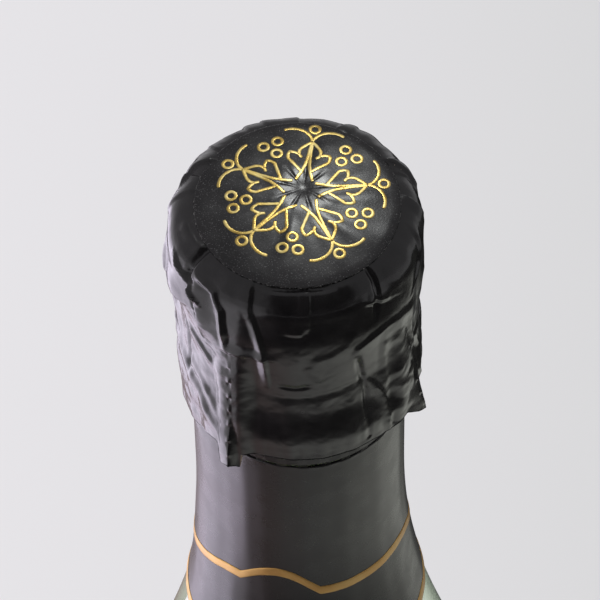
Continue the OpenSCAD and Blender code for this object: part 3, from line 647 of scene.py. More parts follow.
# Folds pressed into the hood, read off the photo: points of (turn, millimetres below the head's
# edge), height, and the widths of the slope on the left and the right of the way they run.
FRONT_FOLDS = (
    (((-84, -4.2), (-75, -4.4), (-67, -4.6), (-60, -5.2)), 0.28, 1.3, 0.7),
    (((-59, -6.2), (-60, -3.0), (-60, -0.6), (-56, 0.2)), -0.75, 1.1, 0.8),
    (((-72, -0.9), (-64, 0.2), (-57, 0.8), (-51, 2.0)), 0.75, 1.3, 0.5),
    (((-54, -1.8), (-48, -1.8), (-43, -1.5), (-38.5, 0.9), (-37.2, 5), (-36, 9)), 0.6, 0.8, 0.9),
    (((-58, 0.0), (-54, 1.8), (-51.5, 5.0), (-50.5, 9.8)), 0.95, 0.6, 3.5),
    (((-26.5, -6.4), (-24.5, -3.5), (-23.5, -0.5)), 0.22, 2.6, 0.25),
    (((-23.5, -0.8), (-20.5, 2.4), (-18, 5.2), (-16.5, 8.5), (-15.5, 15)), 0.4, 1.3, 0.4),
    (((-20, -5.3), (0, -5.6), (19, -5.3)), -0.3, 0.7, 1.1),
    (((5.5, -6.2), (4.8, -3.5), (4.2, 0), (3.6, 2.0)), 0.16, 2.2, 0.2),
    (((3.6, 2.0), (1, 3.2), (-3, 3.3), (-8.5, 2.9)), -0.16, 0.8, 1.3),
    (((40, -6.3), (40, -3.6), (38.5, 0.8), (37, 3.5)), -0.45, 0.8, 0.7),
    (((32.5, -0.7), (46.5, 1.2)), 0.3, 0.8, 2.2),
    (((62.5, 8.2), (53, 6.8), (44, 6.8), (35, 7.2), (27.5, 8.2), (25.5, 10.5)), 0.22, 1.1, 2.8),
    (((32.5, -0.7), (28, 2.4), (22.5, 6.5), (14, 8.2), (8, 8.6), (4.8, 10.6), (8.5, 13.2),
      (20, 12)), 0.1, 1.3, 3.2),
    (((95, -5.6), (93, -3.2), (90, -1.0)), 0.4, 2.0, 0.2),
    (((76, -3.4), (74, -1.6), (70.5, 1.2), (62, 4.4)), 0.4, 0.4, 1.7),
    (((-60, 2.2), (-56, 6.0), (-52.5, 8.8), (-51, 10.8), (-40, 10.6)), -0.35, 0.9, 0.7),
    (((-64, 12.6), (-56, 14.0), (-45, 16.4)), 0.35, 1.6, 1.1),
    (((-69, 12.5), (-68, 18), (-67.5, 25.5)), -0.45, 0.9, 0.8),
    (((-82, 24), (-70, 24.5), (-56, 26.4), (-42.5, 28.6)), 0.25, 2.2, 1.6),
    (((-66, 21.6), (-57, 22.8), (-48, 24.2), (-40, 27)), 0.2, 1.4, 1.6),
    (((-36, 9.4), (-28, 8.9), (-22.5, 8.7), (-16, 8.8)), 0.38, 0.2, 2.0),
    (((-17, 17.6), (-8, 18.1), (0, 18), (12, 17.5), (23, 16.9), (34, 16.4)), -0.09, 1.6, 1.2),
    (((-10.5, 15.1), (-3, 15.5), (4, 15)), -0.14, 0.6, 0.8),
    (((27, 10.5), (29, 14), (32.5, 20.2), (33.5, 31)), -0.4, 0.9, 0.6),
    (((42, 8.5), (43, 16), (43, 25)), 0.3, 1.2, 1.4),
    (((36, 18.5), (41, 22), (44, 27), (46, 32)), 0.34, 1.6, 0.4),
    (((56, 9), (60, 16), (64, 24)), -0.3, 1.4, 0.8),
    (((78, 16), (73, 19.5), (78, 24), (74, 28), (79, 33)), 0.4, 1.0, 0.8),
    (((-92, 3), (-88, 10), (-90, 17)), 0.5, 2.2, 1.2),
    (((-98, 15), (-92, 20), (-86, 25)), 0.85, 5.5, 5.0),
    (((-98, 14), (-92, 19), (-84, 21)), -0.5, 1.2, 1.0),
    (((-126, -6.6), (-118, -4.0), (-108, -1.8)), 0.5, 2.6, 0.4),
    (((124, -6.6), (114, -3.6), (104, -0.4)), 0.45, 0.4, 2.6),
    (((-108, 8.6), (-94, 9.0), (-80, 8.6), (-64, 7.4)), 0.5, 0.4, 5.0),
)


def seeded_folds():
    """Folds for the rest of the hood, in the same kinds as the photographed ones: pleats that
    run down from the crown, creases across the waist and short dents, from a fixed seed."""
    rng = np.random.default_rng(31)
    made = []
    for turn in np.arange(108, 262, 17):
        t0 = turn + rng.uniform(-5, 5)
        t1 = t0 + rng.uniform(-9, 9)
        made.append((((t0, -6.3), ((t0 + t1) / 2, -2.5), (t1, rng.uniform(1, 6))),
                     rng.choice([-0.2, 0.16, 0.24]), rng.uniform(1.6, 3.4), rng.uniform(0.2, 0.7)))
    for _ in range(30):
        t0, d0 = rng.uniform(98, 270), rng.uniform(1, 26)
        t1, d1 = t0 + rng.uniform(-15, 15), d0 + rng.uniform(2, 8)
        t2, d2 = t1 + rng.uniform(-9, 9), d1 + rng.uniform(1, 5)
        made.append((((t0, d0), (t1, d1), (t2, min(d2, 31))), rng.choice([-0.5, -0.3, 0.35, 0.5]),
                     rng.uniform(0.7, 2.4), rng.uniform(0.4, 1.4)))
    return made


def fold_heights(turn, drop, folds):
    """Sum of the folds: each falls in a straight line from its crest to nothing at its width on
    either side, and fades past its ends, so that the foil between folds stays flat."""
    total = np.zeros(turn.shape)
    per_degree = SKIRT_R * math.pi / 180
    for path, height, left, right in folds:
        best = np.full(turn.shape, 1e9)
        value = np.zeros(turn.shape)
        count = len(path) - 1
        for k in range(count):
            ax, ay = path[k]
            bx, by = path[k + 1]
            ux, uy = (bx - ax) * per_degree, by - ay
            size = math.hypot(ux, uy)
            x, y = turn_off(turn, ax) * per_degree, drop - ay
            along = clamp((x * ux + y * uy) / size ** 2)
            gx, gy = x - along * ux, y - along * uy
            gap = np.hypot(gx, gy)
            on_left = (ux * y - uy * x) > 0
            share = clamp(1 - gap / np.where(on_left, left, right))
            place = (k + along) / count
            share = (0.5 * share + 0.5 * ease(share)) * (
                0.35 + 0.65 * clamp(np.minimum(place, 1 - place) * 6))
            value = np.where(gap < best, share, value)
            best = np.minimum(best, gap)
        total = total + height * value
    return total


def facets(x, y, size, seed):
    """Flat-sided crumple: random heights on a lattice of triangles, straight in between, with
    the lattice bent by slow waves so that its rows don't show."""
    rng = np.random.default_rng(seed)
    table = rng.uniform(-1, 1, (64, 64))
    px, py = rng.uniform(0, 6.28, 2)
    u = (x + 0.35 * size * np.sin(y / size * 1.7 + px)) / size
    v = (y + 0.35 * size * np.sin(x / size * 1.3 + py)) / size
    skew = (u + v) * 0.366
    i, j = np.floor(u + skew).astype(int), np.floor(v + skew).astype(int)
    fu, fv = u + skew - i, v + skew - j
    upper = fu > fv
    a, c = table[i % 64, j % 64], table[(i + 1) % 64, (j + 1) % 64]
    b = np.where(upper, table[(i + 1) % 64, j % 64], table[i % 64, (j + 1) % 64])
    high, low = np.maximum(fu, fv), np.minimum(fu, fv)
    return a + (b - a) * high + (c - b) * low


# How far below the head's edge the hood ends, over the turn: its torn lip is long on the left,
# steps down to the fin over the front leg, and comes to a point on the right.
LIP = np.array([
    [-180, LIP_PLAIN], [-148, LIP_PLAIN], [-146, 33], [-129, 36], [-127, 36.2], [-121, 32.2],
    [-112, LIP_PLAIN], [-100, 32.6], [-84, 36], [-76, 36.5], [-60, 35.8], [-50, 33.4],
    [-41.5, 31.9], [-39.6, 32.4], [-38.9, 36.4], [-36, 35.7], [-33.5, 35.1], [-31, 35.7],
    [-29.6, 36.4], [-28.9, 33], [-24, 32.6], [32, 32.6], [46, 32.8], [55, 31.2], [62, 33.4],
    [66, 34.2], [74, 35.9], [77, 34.8], [84, 32.2], [92, LIP_PLAIN], [124, LIP_PLAIN],
    [146, 35.8], [148, 36.2], [155, 32], [158, LIP_PLAIN], [180, LIP_PLAIN]])


def hood_grid(turns, drops):
    """Points of the hood over turns and distances below the head's edge: the skirt's radius plus
    folds, crumple, pleats, torn fins and the head's own form. On the roll, where that distance is
    negative, the same push lies along an arc round the head's edge, and inside it the foil is
    turned in flat."""
    turn, drop = np.meshgrid(turns, drops)
    lip = np.interp(turn_off(turns, 0), LIP[:, 0], LIP[:, 1])[None, :]
    length = HEAD_EDGE_Z - HOOD_LIP
    lowest = ease((drop - 0.6 * length) / (0.4 * length))
    down = np.maximum(drop, 0) + (lip - length) * lowest
    z = HEAD_EDGE_Z - down
    level = np.where(drop > 0, down, drop)
    a = np.radians(np.clip(-drop / ROLL_ARC, 0, 1) * 90)
    arc = turn * ARC_PER_DEGREE
    folds = fold_heights(turn, level, FRONT_FOLDS) + fold_heights(turn, level, seeded_folds())
    off_front = abs(turn_off(turn, 4))
    back = ease((off_front - 75) / 40)
    side = ease((off_front - 32) / 14) * ease((level - 4) / 5)
    crumple = (0.035 + 0.11 * side + 0.05 * back) * facets(arc, level, 4.2, 3)
    crumple += (0.018 + 0.05 * side + 0.03 * back) * facets(arc, level, 1.9, 8)
    crumple += 0.01 * facets(arc, level, 0.9, 12)
    pleats = 0.1 * np.maximum(0, np.cos(np.radians(24 * turn + 3 * z))) * clamp(
        (level - 17) / 6)
    crest = clamp((fin_shape(turn, below_head(z)) - 0.94) / 0.05)
    torn = 0.4 * crest * clamp((level - 9) / 3) * (((level / 3.3) % 1.0) - 0.45) * (
        0.7 + 0.3 * np.sin(level * 1.3))
    head = -0.5 * (1 - ease((level + 1) / 6.5)) * clamp((level + ROLL_ARC) / 5)
    head = head * ease((62 - off_front) / 30)
    flare = ease(1 - clamp((abs(turn_off(turn, -86)) - 12) / 16)) * ease((level + 6) / 8)
    head = head + 0.75 * flare * clamp((9.2 - level) / 0.9)
    push = (folds + crumple + pleats) * clamp((level + ROLL_ARC + 0.4) / 1.8) + torn + head
    push = np.clip(push, -0.75, 1.5)
    radius = hood_radius(turn, z)
    swell = (radius - HEAD_EDGE_R - ROLL_R) * np.cos(a)
    out = ROLL_R + swell + push
    r = np.where(drop < 0, HEAD_EDGE_R + out * np.cos(a), radius + push)
    z = np.where(drop < 0, HEAD_EDGE_Z + out * np.sin(a), z)
    flat = clamp((-drop - ROLL_ARC) / 2.25)
    r = np.where(drop < -ROLL_ARC, HEAD_EDGE_R - 2.25 * flat, r)
    z = np.where(drop < -ROLL_ARC, HOOD_TOP - 0.1 + 0.3 * flat, z)
    return r, z, turn


HOOD_COLS = 512
hood_drops = np.concatenate([[-9.25, -8.1], np.linspace(-7.0, -0.3, 27),
                             np.linspace(0, HEAD_EDGE_Z - HOOD_LIP, 118)])
hood_turns = np.arange(HOOD_COLS) * 360 / HOOD_COLS
skin_r, skin_z, skin_turn = hood_grid(hood_turns, hood_drops)
skin = about(skin_turn, skin_r, skin_z)
rows = len(hood_drops)
# The inside is the lowest of each block of four points, 0.15 mm further in, on half the columns.
inner_rows = np.r_[0:rows - 1:3, rows - 1]
shrunk = np.minimum(skin_r, np.minimum(np.roll(skin_r, 1, 1), np.roll(skin_r, -1, 1)))
shrunk = np.minimum(shrunk[:-1], shrunk[1:])
shrunk = np.concatenate([shrunk, shrunk[-1:]])
lining_r = shrunk[inner_rows][:, ::2] - 0.15 * clamp((hood_drops[inner_rows, None] + 7) / 3)
lining_z = skin_z[inner_rows][:, ::2] - 0.2 * clamp(1 - (hood_drops[inner_rows, None] + 7) / 7)
lining = about(skin_turn[inner_rows][:, ::2], lining_r, lining_z)
half = HOOD_COLS // 2
skin_faces = quads(rows, HOOD_COLS, closed_cols=True)
lining_faces = quads(len(inner_rows), half, closed_cols=True)[:, ::-1] + rows * HOOD_COLS


def hem(skin_row, lining_row, flip):
    """Faces between a row of the skin and a row of the lining with half as many points."""
    k = np.arange(half)
    a = skin_row * HOOD_COLS + 2 * k
    b = skin_row * HOOD_COLS + 2 * k + 1
    c = skin_row * HOOD_COLS + (2 * k + 2) % HOOD_COLS
    p = rows * HOOD_COLS + lining_row * half + k
    q = rows * HOOD_COLS + lining_row * half + (k + 1) % half
    made = np.concatenate([np.stack([a, b, p, p], 1), np.stack([b, c, q, p], 1)])
    return made[:, ::-1] if flip else made


hem_faces = np.concatenate([hem(rows - 1, len(inner_rows) - 1, True), hem(0, 0, False)])
hood_faces = np.concatenate([skin_faces, lining_faces, hem_faces])
hood_marks = np.arange(len(hood_faces)) >= len(skin_faces)


def black_lacquer(name, grain_scale, grain_depth, wrinkle_depth, low, high, coat):
    """Satin black lacquer on foil: nearly black, patchy in gloss, with fine pressed grain,
    soft wrinkles and hair-fine scuffs in which the metal shows through."""
    material, tree, shader, where = new_finish(
        name, (0.012, 0.011, 0.012), 0.3, 0.2, Specular_IOR_Level=0.75, Coat_Weight=coat,
        Coat_Roughness=0.1, Coat_IOR=1.5)
    film = grain(tree, grain_scale, 260, low, high)
    wrinkle = noise(tree, where, 420, 4, 0.6, 0.5)
    scuff = noise(tree, stretched(tree, where, 1, 1, 0.3), 1900, 2)
    scuffs = spread(tree, scuff, 0.8, 0.9, 0.0, 0.5)
    body = ramp(tree, film["Patches"], [(0.3, (0.009, 0.008, 0.009)), (0.7, (0.02, 0.018, 0.019))])
    tree.links.new(mixed(tree, scuffs, body, (0.09, 0.085, 0.08)), shader.inputs["Base Color"])
    tree.links.new(film["Roughness"], shader.inputs["Roughness"])
    height = sums(tree, "ADD", sums(tree, "MULTIPLY", film["Height"], grain_depth),
                  sums(tree, "MULTIPLY", wrinkle, wrinkle_depth))
    bump(tree, shader, height, MM)
    return material, tree, shader, where


hood_foil = black_lacquer("black_lacquered_foil", 2600, 0.0012, 0.014, 0.17, 0.28, 0.22)[0]
bare_foil = grained(
    new_finish("bare_foil_inside", (0.74, 0.6, 0.5), 0.35, 1.0), (2400, 300, 0.28, 0.5),
    [(0.3, (0.62, 0.46, 0.36)), (0.7, (0.82, 0.7, 0.6))], 0.00001)
piece("foil_cap", np.concatenate([skin.reshape(-1, 3), lining.reshape(-1, 3)]), hood_faces,
      "hood", [hood_foil, bare_foil], ["foil_hood"], marks=hood_marks)

# Crown disc: a stamped round of heavier foil welded over the turned-in edge of the hood. It is
# embossed with a fine leather grain, dimpled in its middle, and its cut edge shows bare metal.
CROWN_R = 14.1
CROWN_T = 0.2
CROWN_COLS = 384
DIMPLE_X, DIMPLE_Y = 0.9, 2.2


def crown_height(x, y):
    """Top of the crown disc: a low dome with a dimple, falling over the hood's roll outside, and
    soft wrinkles that run out from the middle."""
    r = np.hypot(x, y)
    dome = 0.6 * (1 - (r / HEAD_EDGE_R) ** 2)
    from_dimple = np.hypot(x - DIMPLE_X, y - DIMPLE_Y)
    dimple = 0.13 * np.exp(-(from_dimple / 1.2) ** 2)
    dimple = dimple - 0.05 * np.exp(-((from_dimple - 3.6) / 1.5) ** 2)
    fall = 0.36 * (ROLL_R - np.sqrt(ROLL_R ** 2 - np.clip(r - HEAD_EDGE_R, 0, 3) ** 2))
    a = np.arctan2(y, x)
    rays = 0.022 * np.sin(7 * a + 0.8) + 0.02 * np.sin(11 * a + 2.0) + 0.012 * np.sin(17 * a)
    rays = rays * ease((r - 2) / 5) * (1 - ease((r - 10.5) / 3.2))
    b = np.arctan2(y - DIMPLE_Y, x - DIMPLE_X)
    fan = 0.05 * np.maximum(0, np.sin(9 * b + 1.1)) ** 3 * clamp(1 - abs(from_dimple - 2.6) / 2.2)
    return HOOD_TOP + CROWN_T + dome - dimple - fall + rays - fan


crown_rings = np.concatenate([np.linspace(0, 3.4, 24), np.linspace(3.6, 13.9, 68), [14.0, 14.06]])
crown_a = np.linspace(0, 2 * math.pi, CROWN_COLS, endpoint=False)
ring_r, ring_a = np.meshgrid(crown_rings, crown_a, indexing="ij")
top_x, top_y = ring_r * np.cos(ring_a), ring_r * np.sin(ring_a)
top_z = crown_height(top_x, top_y) - 0.06 * clamp((ring_r - 13.9) / 0.16) ** 2
cut = CROWN_R + 0.03 * np.sin(crown_a * 96) + 0.02 * np.sin(crown_a * 41 + 1)
crown_x, crown_y = np.cos(crown_a), np.sin(crown_a)
rim_z = crown_height(CROWN_R * crown_x, CROWN_R * crown_y)
rims = [np.stack([cut * crown_x, cut * crown_y, rim_z - d], 1) for d in (0.07, 0.17)]
under = [np.stack([r * crown_x, r * crown_y, crown_height(r * crown_x, r * crown_y) - CROWN_T], 1)
         for r in (13.9, 10.0, 5.0, 0.0)]
crown_points = np.concatenate([np.stack([top_x, top_y, top_z], 2), rims, under])
crown_rows = len(crown_points)
crown_points[-1] = crown_points[-1].mean(axis=0)
crown_faces = quads(crown_rows, CROWN_COLS, closed_cols=True)
# All corners of the first ring become one, and so do those of the last.
crown_faces = np.where(crown_faces < CROWN_COLS, 0, crown_faces)
last_start = (crown_rows - 1) * CROWN_COLS
crown_faces = np.minimum(crown_faces, last_start)
ring_of_face = np.repeat(np.arange(crown_rows - 1), CROWN_COLS)
crown_marks = (ring_of_face >= len(crown_rings) - 1) & (ring_of_face <= len(crown_rings))
used, renumbered = np.unique(crown_faces, return_inverse=True)

crown_foil, tree, shader, where = black_lacquer("black_grained_crown", 3300, 0.0036, 0.004,
                                                0.17, 0.25, 0.0)
# Painted glints: pale specks in the crown's base colour stand in for the sparkle of its grain.
painted_glints = spread(tree, noise(tree, where, 5200, 2), 0.6, 0.72, 0.0, 0.8)
lacquer = shader.inputs["Base Color"].links[0].from_socket
tree.links.new(mixed(tree, painted_glints, lacquer, (0.16, 0.16, 0.16)), shader.inputs["Base Color"])

cut_edge, tree, shader, where = new_finish("cut_foil_edge", (0.3, 0.29, 0.28), 0.4, 0.9)
bits = noise(tree, where, 2200, 2)
tree.links.new(ramp(tree, bits, [(0.5, (0.02, 0.02, 0.02)), (0.6, (0.34, 0.33, 0.32))]),
               shader.inputs["Base Color"])
bump(tree, shader, bits, 0.00005)
piece("crown_round", crown_points.reshape(-1, 3)[used], renumbered.reshape(-1, 4), "hood",
      [crown_foil, cut_edge], ["crown_disc"], marks=crown_marks)

# Gold ornament: a ring of five vine leaves with tendrils and berries, a stock pattern of this
# trade drawn afresh and symmetric, hot stamped in gold foil on the crown.
ORNAMENT_X, ORNAMENT_Y = 0.62, 1.45
ORNAMENT_TURN = 151.6
MOTIF_R = 11.35
MOTIFS = 5
BERRY_R = 0.68
GOLD_T = 0.035
BERRIES = ((0, MOTIF_R, 0), (0.5, 7.65, 0), (0.5, 9.55, 1.08), (0.5, 9.55, -1.08))
STALK = np.array([[9.05, 0.04], [6.5, 0.14], [4.7, 0.3], [3.3, 0.66], [2.0, 1.18]])
ARM = np.array([[9.05, 0.0], [9.6, 0.16], [10.12, 0.5], [10.58, 1.02], [10.88, 1.62],
                [11.04, 2.3], [11.03, 3.0], [10.86, 3.66], [10.58, 4.2]])
LEAF_TIP = np.array([[9.0, 0.05], [8.4, 0.64], [7.75, 1.24], [7.2, 1.5], [6.5, 1.44],
                     [5.97, 0.94]])
LEAF_LOBE = np.array([[6.52, 1.46], [6.76, 2.1], [6.8, 2.76], [6.3, 2.92], [5.6, 2.82],
                      [4.6, 1.76], [3.55, 0.66]])


def softened(line, rounds=2):
    """A line of points with its corners cut twice, at a quarter and three quarters of each side."""
    for _ in range(rounds):
        cut = np.stack([line[:-1] * 0.75 + line[1:] * 0.25, line[:-1] * 0.25 + line[1:] * 0.75], 1)
        line = np.concatenate([line[:1], cut.reshape(-1, 2), line[-1:]])
    return line


def ornament_lines(reach):
    """The ornament's strokes as (points, closed): one motif's points, outwards and across in
    millimetres for a reach of MOTIF_R, scaled and turned to five places round the middle."""
    a = np.linspace(0, -2 * math.pi, 40, endpoint=False)
    lines = []
    for k in range(MOTIFS):
        for shift, out, across in BERRIES:
            berry = np.stack([out + BERRY_R * np.cos(a), across + BERRY_R * np.sin(a)], 1)
            lines.append((k + shift, berry, True))
        for side in ([1, -1], [1, 1]):
            for stroke in (STALK, softened(ARM), LEAF_TIP, LEAF_LOBE):
                lines.append((k, stroke * side, False))
    made = []
    for k, flat, closed in lines:
        a = math.radians(ORNAMENT_TURN + 360 / MOTIFS * k)
        out, across = (flat * reach / MOTIF_R).T
        made.append((np.stack([out * math.cos(a) - across * math.sin(a),
                               out * math.sin(a) + across * math.cos(a)], 1), closed))
    return made


STROKE_SECTION = ((-1, 0), (-0.93, 0.7), (-0.6, 1), (0.6, 1), (0.93, 0.7), (1, 0))


def stamped(line, closed, width, thick, lay, step=0.12, seed=0):
    """A stroke of stamped foil: the line cut into even steps, widened to both sides and laid on
    the surface that lay gives, with rounded shoulders and edges that waver by a slow sine."""
    if closed:
        line = np.concatenate([line, line[:1]])
    lengths = np.r_[0, np.cumsum(np.linalg.norm(np.diff(line, axis=0), axis=1))]
    count = max(6, int(lengths[-1] / step))
    s = np.linspace(0, lengths[-1], count + 1)
    mid = np.stack([np.interp(s, lengths, line[:, 0]), np.interp(s, lengths, line[:, 1])], 1)
    way = np.gradient(mid, axis=0)
    if closed:
        mid = mid[:-1]
        way = np.roll(mid, -1, 0) - np.roll(mid, 1, 0)
    way = way / np.linalg.norm(way, axis=1, keepdims=True)
    side = np.stack([-way[:, 1], way[:, 0]], 1)
    half_w = width / 2 * (1 + 0.06 * np.sin(s[:len(mid)] * 5 + seed))
    if not closed:
        near_end = np.minimum(s, lengths[-1] - s)[:len(mid)]
        half_w = half_w * (0.72 + 0.28 * clamp(near_end / 0.22))
    rings = [lay(mid + side * (half_w * u)[:, None], up * thick) for u, up in STROKE_SECTION]
    points = np.stack(rings, axis=1).reshape(-1, 3)
    faces = quads(len(mid), len(rings), closed_rows=closed, closed_cols=True)
    caps = [] if closed else end_caps(len(mid), len(rings))
    if enclosed(points, faces) < 0:
        faces = faces[:, ::-1]
        caps = [c[::-1] for c in caps]
    return points, faces, caps


def on_crown(flat, lift):
    """Places on the crown disc, lifted off it."""
    return np.stack([flat[:, 0], flat[:, 1], crown_height(flat[:, 0], flat[:, 1]) + 0.01 + lift],
                    1)


gold_stamping = grained(
    new_finish("gold_stamping", (0.76, 0.56, 0.18), 0.28, 1.0, Coat_Weight=0.8,
               Coat_Roughness=0.2),
    (3600, 500, 0.2, 0.36),
    [(0.3, (0.64, 0.42, 0.09)), (0.5, (0.76, 0.54, 0.15)), (0.7, (0.88, 0.7, 0.28))], 0.000008)
strokes = [stamped(line + [ORNAMENT_X, ORNAMENT_Y], closed, 0.5, GOLD_T, on_crown, seed=k)
           for k, (line, closed) in enumerate(ornament_lines(MOTIF_R))]
points, faces, caps = joined(strokes)
piece("crown_ornament", points, faces, "hood", [gold_stamping],
      ["rosette_print"], ends=caps)

# Tear strip: the narrow band between the hood's undercut and the perforated line. It curls out
# under the wire belt at its top, and short bridges of foil join it to the sleeve below.
STRIP_LOW = 276.5
STRIP_COLS = 768
PERFORATIONS = 30
neck_foil = black_lacquer("black_sleeve_foil", 2600, 0.0012, 0.004, 0.24, 0.33, 0.1)[0]
strip_inside = [
    [16.72, 281.9], [16.7, 281.2], [16.2, 280.76], [15.5, 280.6], [14.95, 280.3], [14.75, 280.1],
    [14.7, 279.85], [14.7, 279.0], [14.7, 278.2], [14.7, 276.8], [14.7, 276.5]]
strip_outside = [
    [14.9, 276.5], [14.92, 276.8], [14.9, 278.2], [14.9, 279.0], [14.9, 279.75],
    [15.0, 280.04], [15.3, 280.3], [15.9, 280.5], [16.7, 280.66], [16.9, 280.9],
    [16.88, 281.9]]
strip_profile = np.array(strip_inside + strip_outside)
strip_turns = np.arange(STRIP_COLS) * 360 / STRIP_COLS
strip_r = np.repeat(strip_profile[:, 0, None], STRIP_COLS, 1)
strip_z = np.repeat(strip_profile[:, 1, None], STRIP_COLS, 1)
bridge = clamp((np.cos(np.radians(strip_turns * PERFORATIONS)) - 0.15) * 9)
at_cut = np.exp(-((strip_z - STRIP_LOW) / 0.35) ** 2)
strip_z = strip_z - 0.44 * bridge * (strip_z < STRIP_LOW + 0.01)
at_leg = np.min([abs(turn_off(strip_turns, t)) for t in LEG_TURNS], axis=0)
strip_z = strip_z - np.maximum(strip_z - 280.95, 0) * (1 - clamp((at_leg - 8) / 5))
outside = (np.arange(len(strip_profile)) >= len(strip_inside))[:, None]
burr = 0.05 * (1 - bridge) * at_cut + 0.04 * np.sin(np.radians(strip_turns * 9 + 40)) * (
    strip_z > 277.8) * (strip_z < 280)
strip_r = strip_r + burr * outside * (abs(turn_off(strip_turns, 195)) > 24)
points = about(strip_turns[None, :], strip_r, strip_z).reshape(-1, 3)
piece("tear_band", points, quads(len(strip_profile), STRIP_COLS, True, True), "bottle",
      [neck_foil], ["tear_strip"])

# Pull tab: the loose end of the tear strip, a doubled tongue of foil that lies round the back of
# the neck until it is pulled.
TAB_TURN = 194.15
TAB_HALF_TURN = 18.15
TAB_Z = 278.67
TAB_COLS = 72
tab_span = np.linspace(-1, 1, TAB_COLS)
tab_turns = TAB_TURN + TAB_HALF_TURN * tab_span
tab_section = np.array([[15.02, 277.62], [15.02, 279.73], [15.1, 279.75], [15.22, 279.7],
                        [15.24, 279.2], [15.21, 278.6], [15.24, 278.1], [15.22, 277.66],
                        [15.1, 277.6]])
tip = np.sqrt(clamp(1 - clamp((tab_span - 0.9) / 0.1) ** 2))[:, None]
tab_z = TAB_Z + (tab_section[None, :, 1] - TAB_Z) * (0.25 + 0.75 * tip)
tab_r = tab_section[None, :, 0] + 0.02 * np.sin(tab_span * 20)[:, None] * (
    tab_section[None, :, 0] > 15.15)
points = about(tab_turns[:, None], tab_r, tab_z).reshape(-1, 3)
piece("tear_tab", points, quads(TAB_COLS, len(tab_section), closed_cols=True), "tab",
      [neck_foil], ["pull_tab"], ends=end_caps(TAB_COLS, len(tab_section)))

# Neck sleeve: the same foil wrapped round the neck below the perforated line and smoothed down
# on the glass by rollers, which leave faint upright flutes and a few soft dents.
SLEEVE_TOP = 276.05
SLEEVE_LOW = 222.3
SLEEVE_COLS = 384


def sleeve_radius(turn, z):
    """Outside of the sleeve: the glass plus its gap and foil, with upright flutes that rise and
    fade along the neck, slow dents, and a loose swelling on the left under the hood."""
    t = np.radians(turn)
    flutes = (0.05 * np.sin(9 * t + 0.7 + z * 0.02) + 0.035 * np.sin(17 * t + 2 - z * 0.03)
              + 0.02 * np.sin(31 * t + 1 + z * 0.05))
    dents = 0.05 * np.sin(3 * t + z * 0.11) * np.sin(z * 0.17 + 5 * t)
    loose = 0.9 * np.exp(-(turn_off(turn, -90) / 30) ** 2) * ease((276.5 - z) / 6) * ease(
        (z - 222) / 26)
    return glass_outside(z) + 0.3 + 0.5 * (flutes + dents + 0.11) + loose


sleeve_z = np.concatenate([np.linspace(SLEEVE_LOW, SLEEVE_TOP - 0.6, 128),
                           [SLEEVE_TOP - 0.3, SLEEVE_TOP - 0.12, SLEEVE_TOP]])
sleeve_turns = np.arange(SLEEVE_COLS) * 360 / SLEEVE_COLS
st, sz = np.meshgrid(sleeve_turns, sleeve_z)
burr = (0.07 * clamp(0.15 - np.cos(np.radians(st * PERFORATIONS)))
        * clamp((sz - SLEEVE_TOP + 0.4) / 0.4))
outer_r = sleeve_radius(st, sz) - 0.06 * clamp((sz - SLEEVE_TOP + 0.14) / 0.14) + burr
lower_wave = 0.1 * np.sin(np.radians(5 * sleeve_turns)) + 0.06 * np.sin(
    np.radians(13 * sleeve_turns + 50))
sz = sz + lower_wave * clamp((SLEEVE_LOW + 4 - sz) / 4)
inner_z = np.concatenate([sz[::8], sz[-1:]])
inner_r = glass_outside(inner_z) + 0.1
sleeve = np.concatenate([about(st, outer_r, sz), about(np.repeat(st[:1], len(inner_z), 0),
                                                       inner_r, inner_z)[::-1]])
piece("neck_foil_sleeve", sleeve.reshape(-1, 3), quads(len(sleeve), SLEEVE_COLS, True, True),
      "bottle", [neck_foil], ["neck_sleeve"])

# Gold lines: two thin bands printed round the sleeve. The upper one rises in a low arch between
# two points at the front and falls towards the sides.
UPPER_LINE_Z = 243.5
LOWER_LINE_Z = 223.5
BAND_COLS = 480
BAND_SECTION = ((-1, 0.0), (-0.96, 0.7), (-0.7, 1.0), (0.7, 1.0), (0.96, 0.7), (1, 0.0))
line_gold = grained(
    new_finish("printed_gold_line", (0.8, 0.5, 0.26), 0.34, 0.55), (3000, 220, 0.3, 0.45),
    [(0.3, (0.64, 0.35, 0.1)), (0.5, (0.76, 0.45, 0.14)), (0.7, (0.85, 0.56, 0.21))], 0.000005)
band_turns = np.arange(BAND_COLS) * 360 / BAND_COLS
across = turn_off(band_turns, 0)
upper_line = (UPPER_LINE_Z + 4.2 * np.sin(math.pi * clamp((across + 38) / 46))
              - 6 * ease((abs(across - 12) - 48) / 60))
lower_line = np.full(BAND_COLS, LOWER_LINE_Z)
for band_name, middle, width, node in (
        ("upper_gold_band", upper_line, 1.9, "gold_line_upper"),
        ("lower_gold_band", lower_line, 1.8, "gold_line_lower")):
    rows = []
    for u, up in BAND_SECTION:
        z = middle + u * width / 2
        rows.append(about(band_turns, sleeve_radius(band_turns, z) + 0.012 + 0.07 * up, z))
    piece(band_name, np.stack(rows, 1).reshape(-1, 3), quads(BAND_COLS, len(rows), True, True),
          "bottle", [line_gold], [node])

# Labels: laid paper, glued on, with a gold frame and, on the front one, the crown's vine ring
# stamped on it.
PAPER_R = 44.28
LABEL_Z = 62.0
SHEET_COLS = 120
SHEET_ROWS = 60
LAID_LINES = 5200.0


def parted(tree, coordinates):
    """The coordinates' three values."""
    n = make(tree, "ShaderNodeSeparateXYZ")
    tree.links.new(coordinates, n.inputs[0])
    return n.outputs


def laid_lines(tree, where):
    """A low sine over the height, one line every 1.2 mm."""
    line = sums(tree, "SINE", sums(tree, "MULTIPLY", parted(tree, where)["Z"], LAID_LINES))
    return sums(tree, "MULTIPLY", line, 0.25)


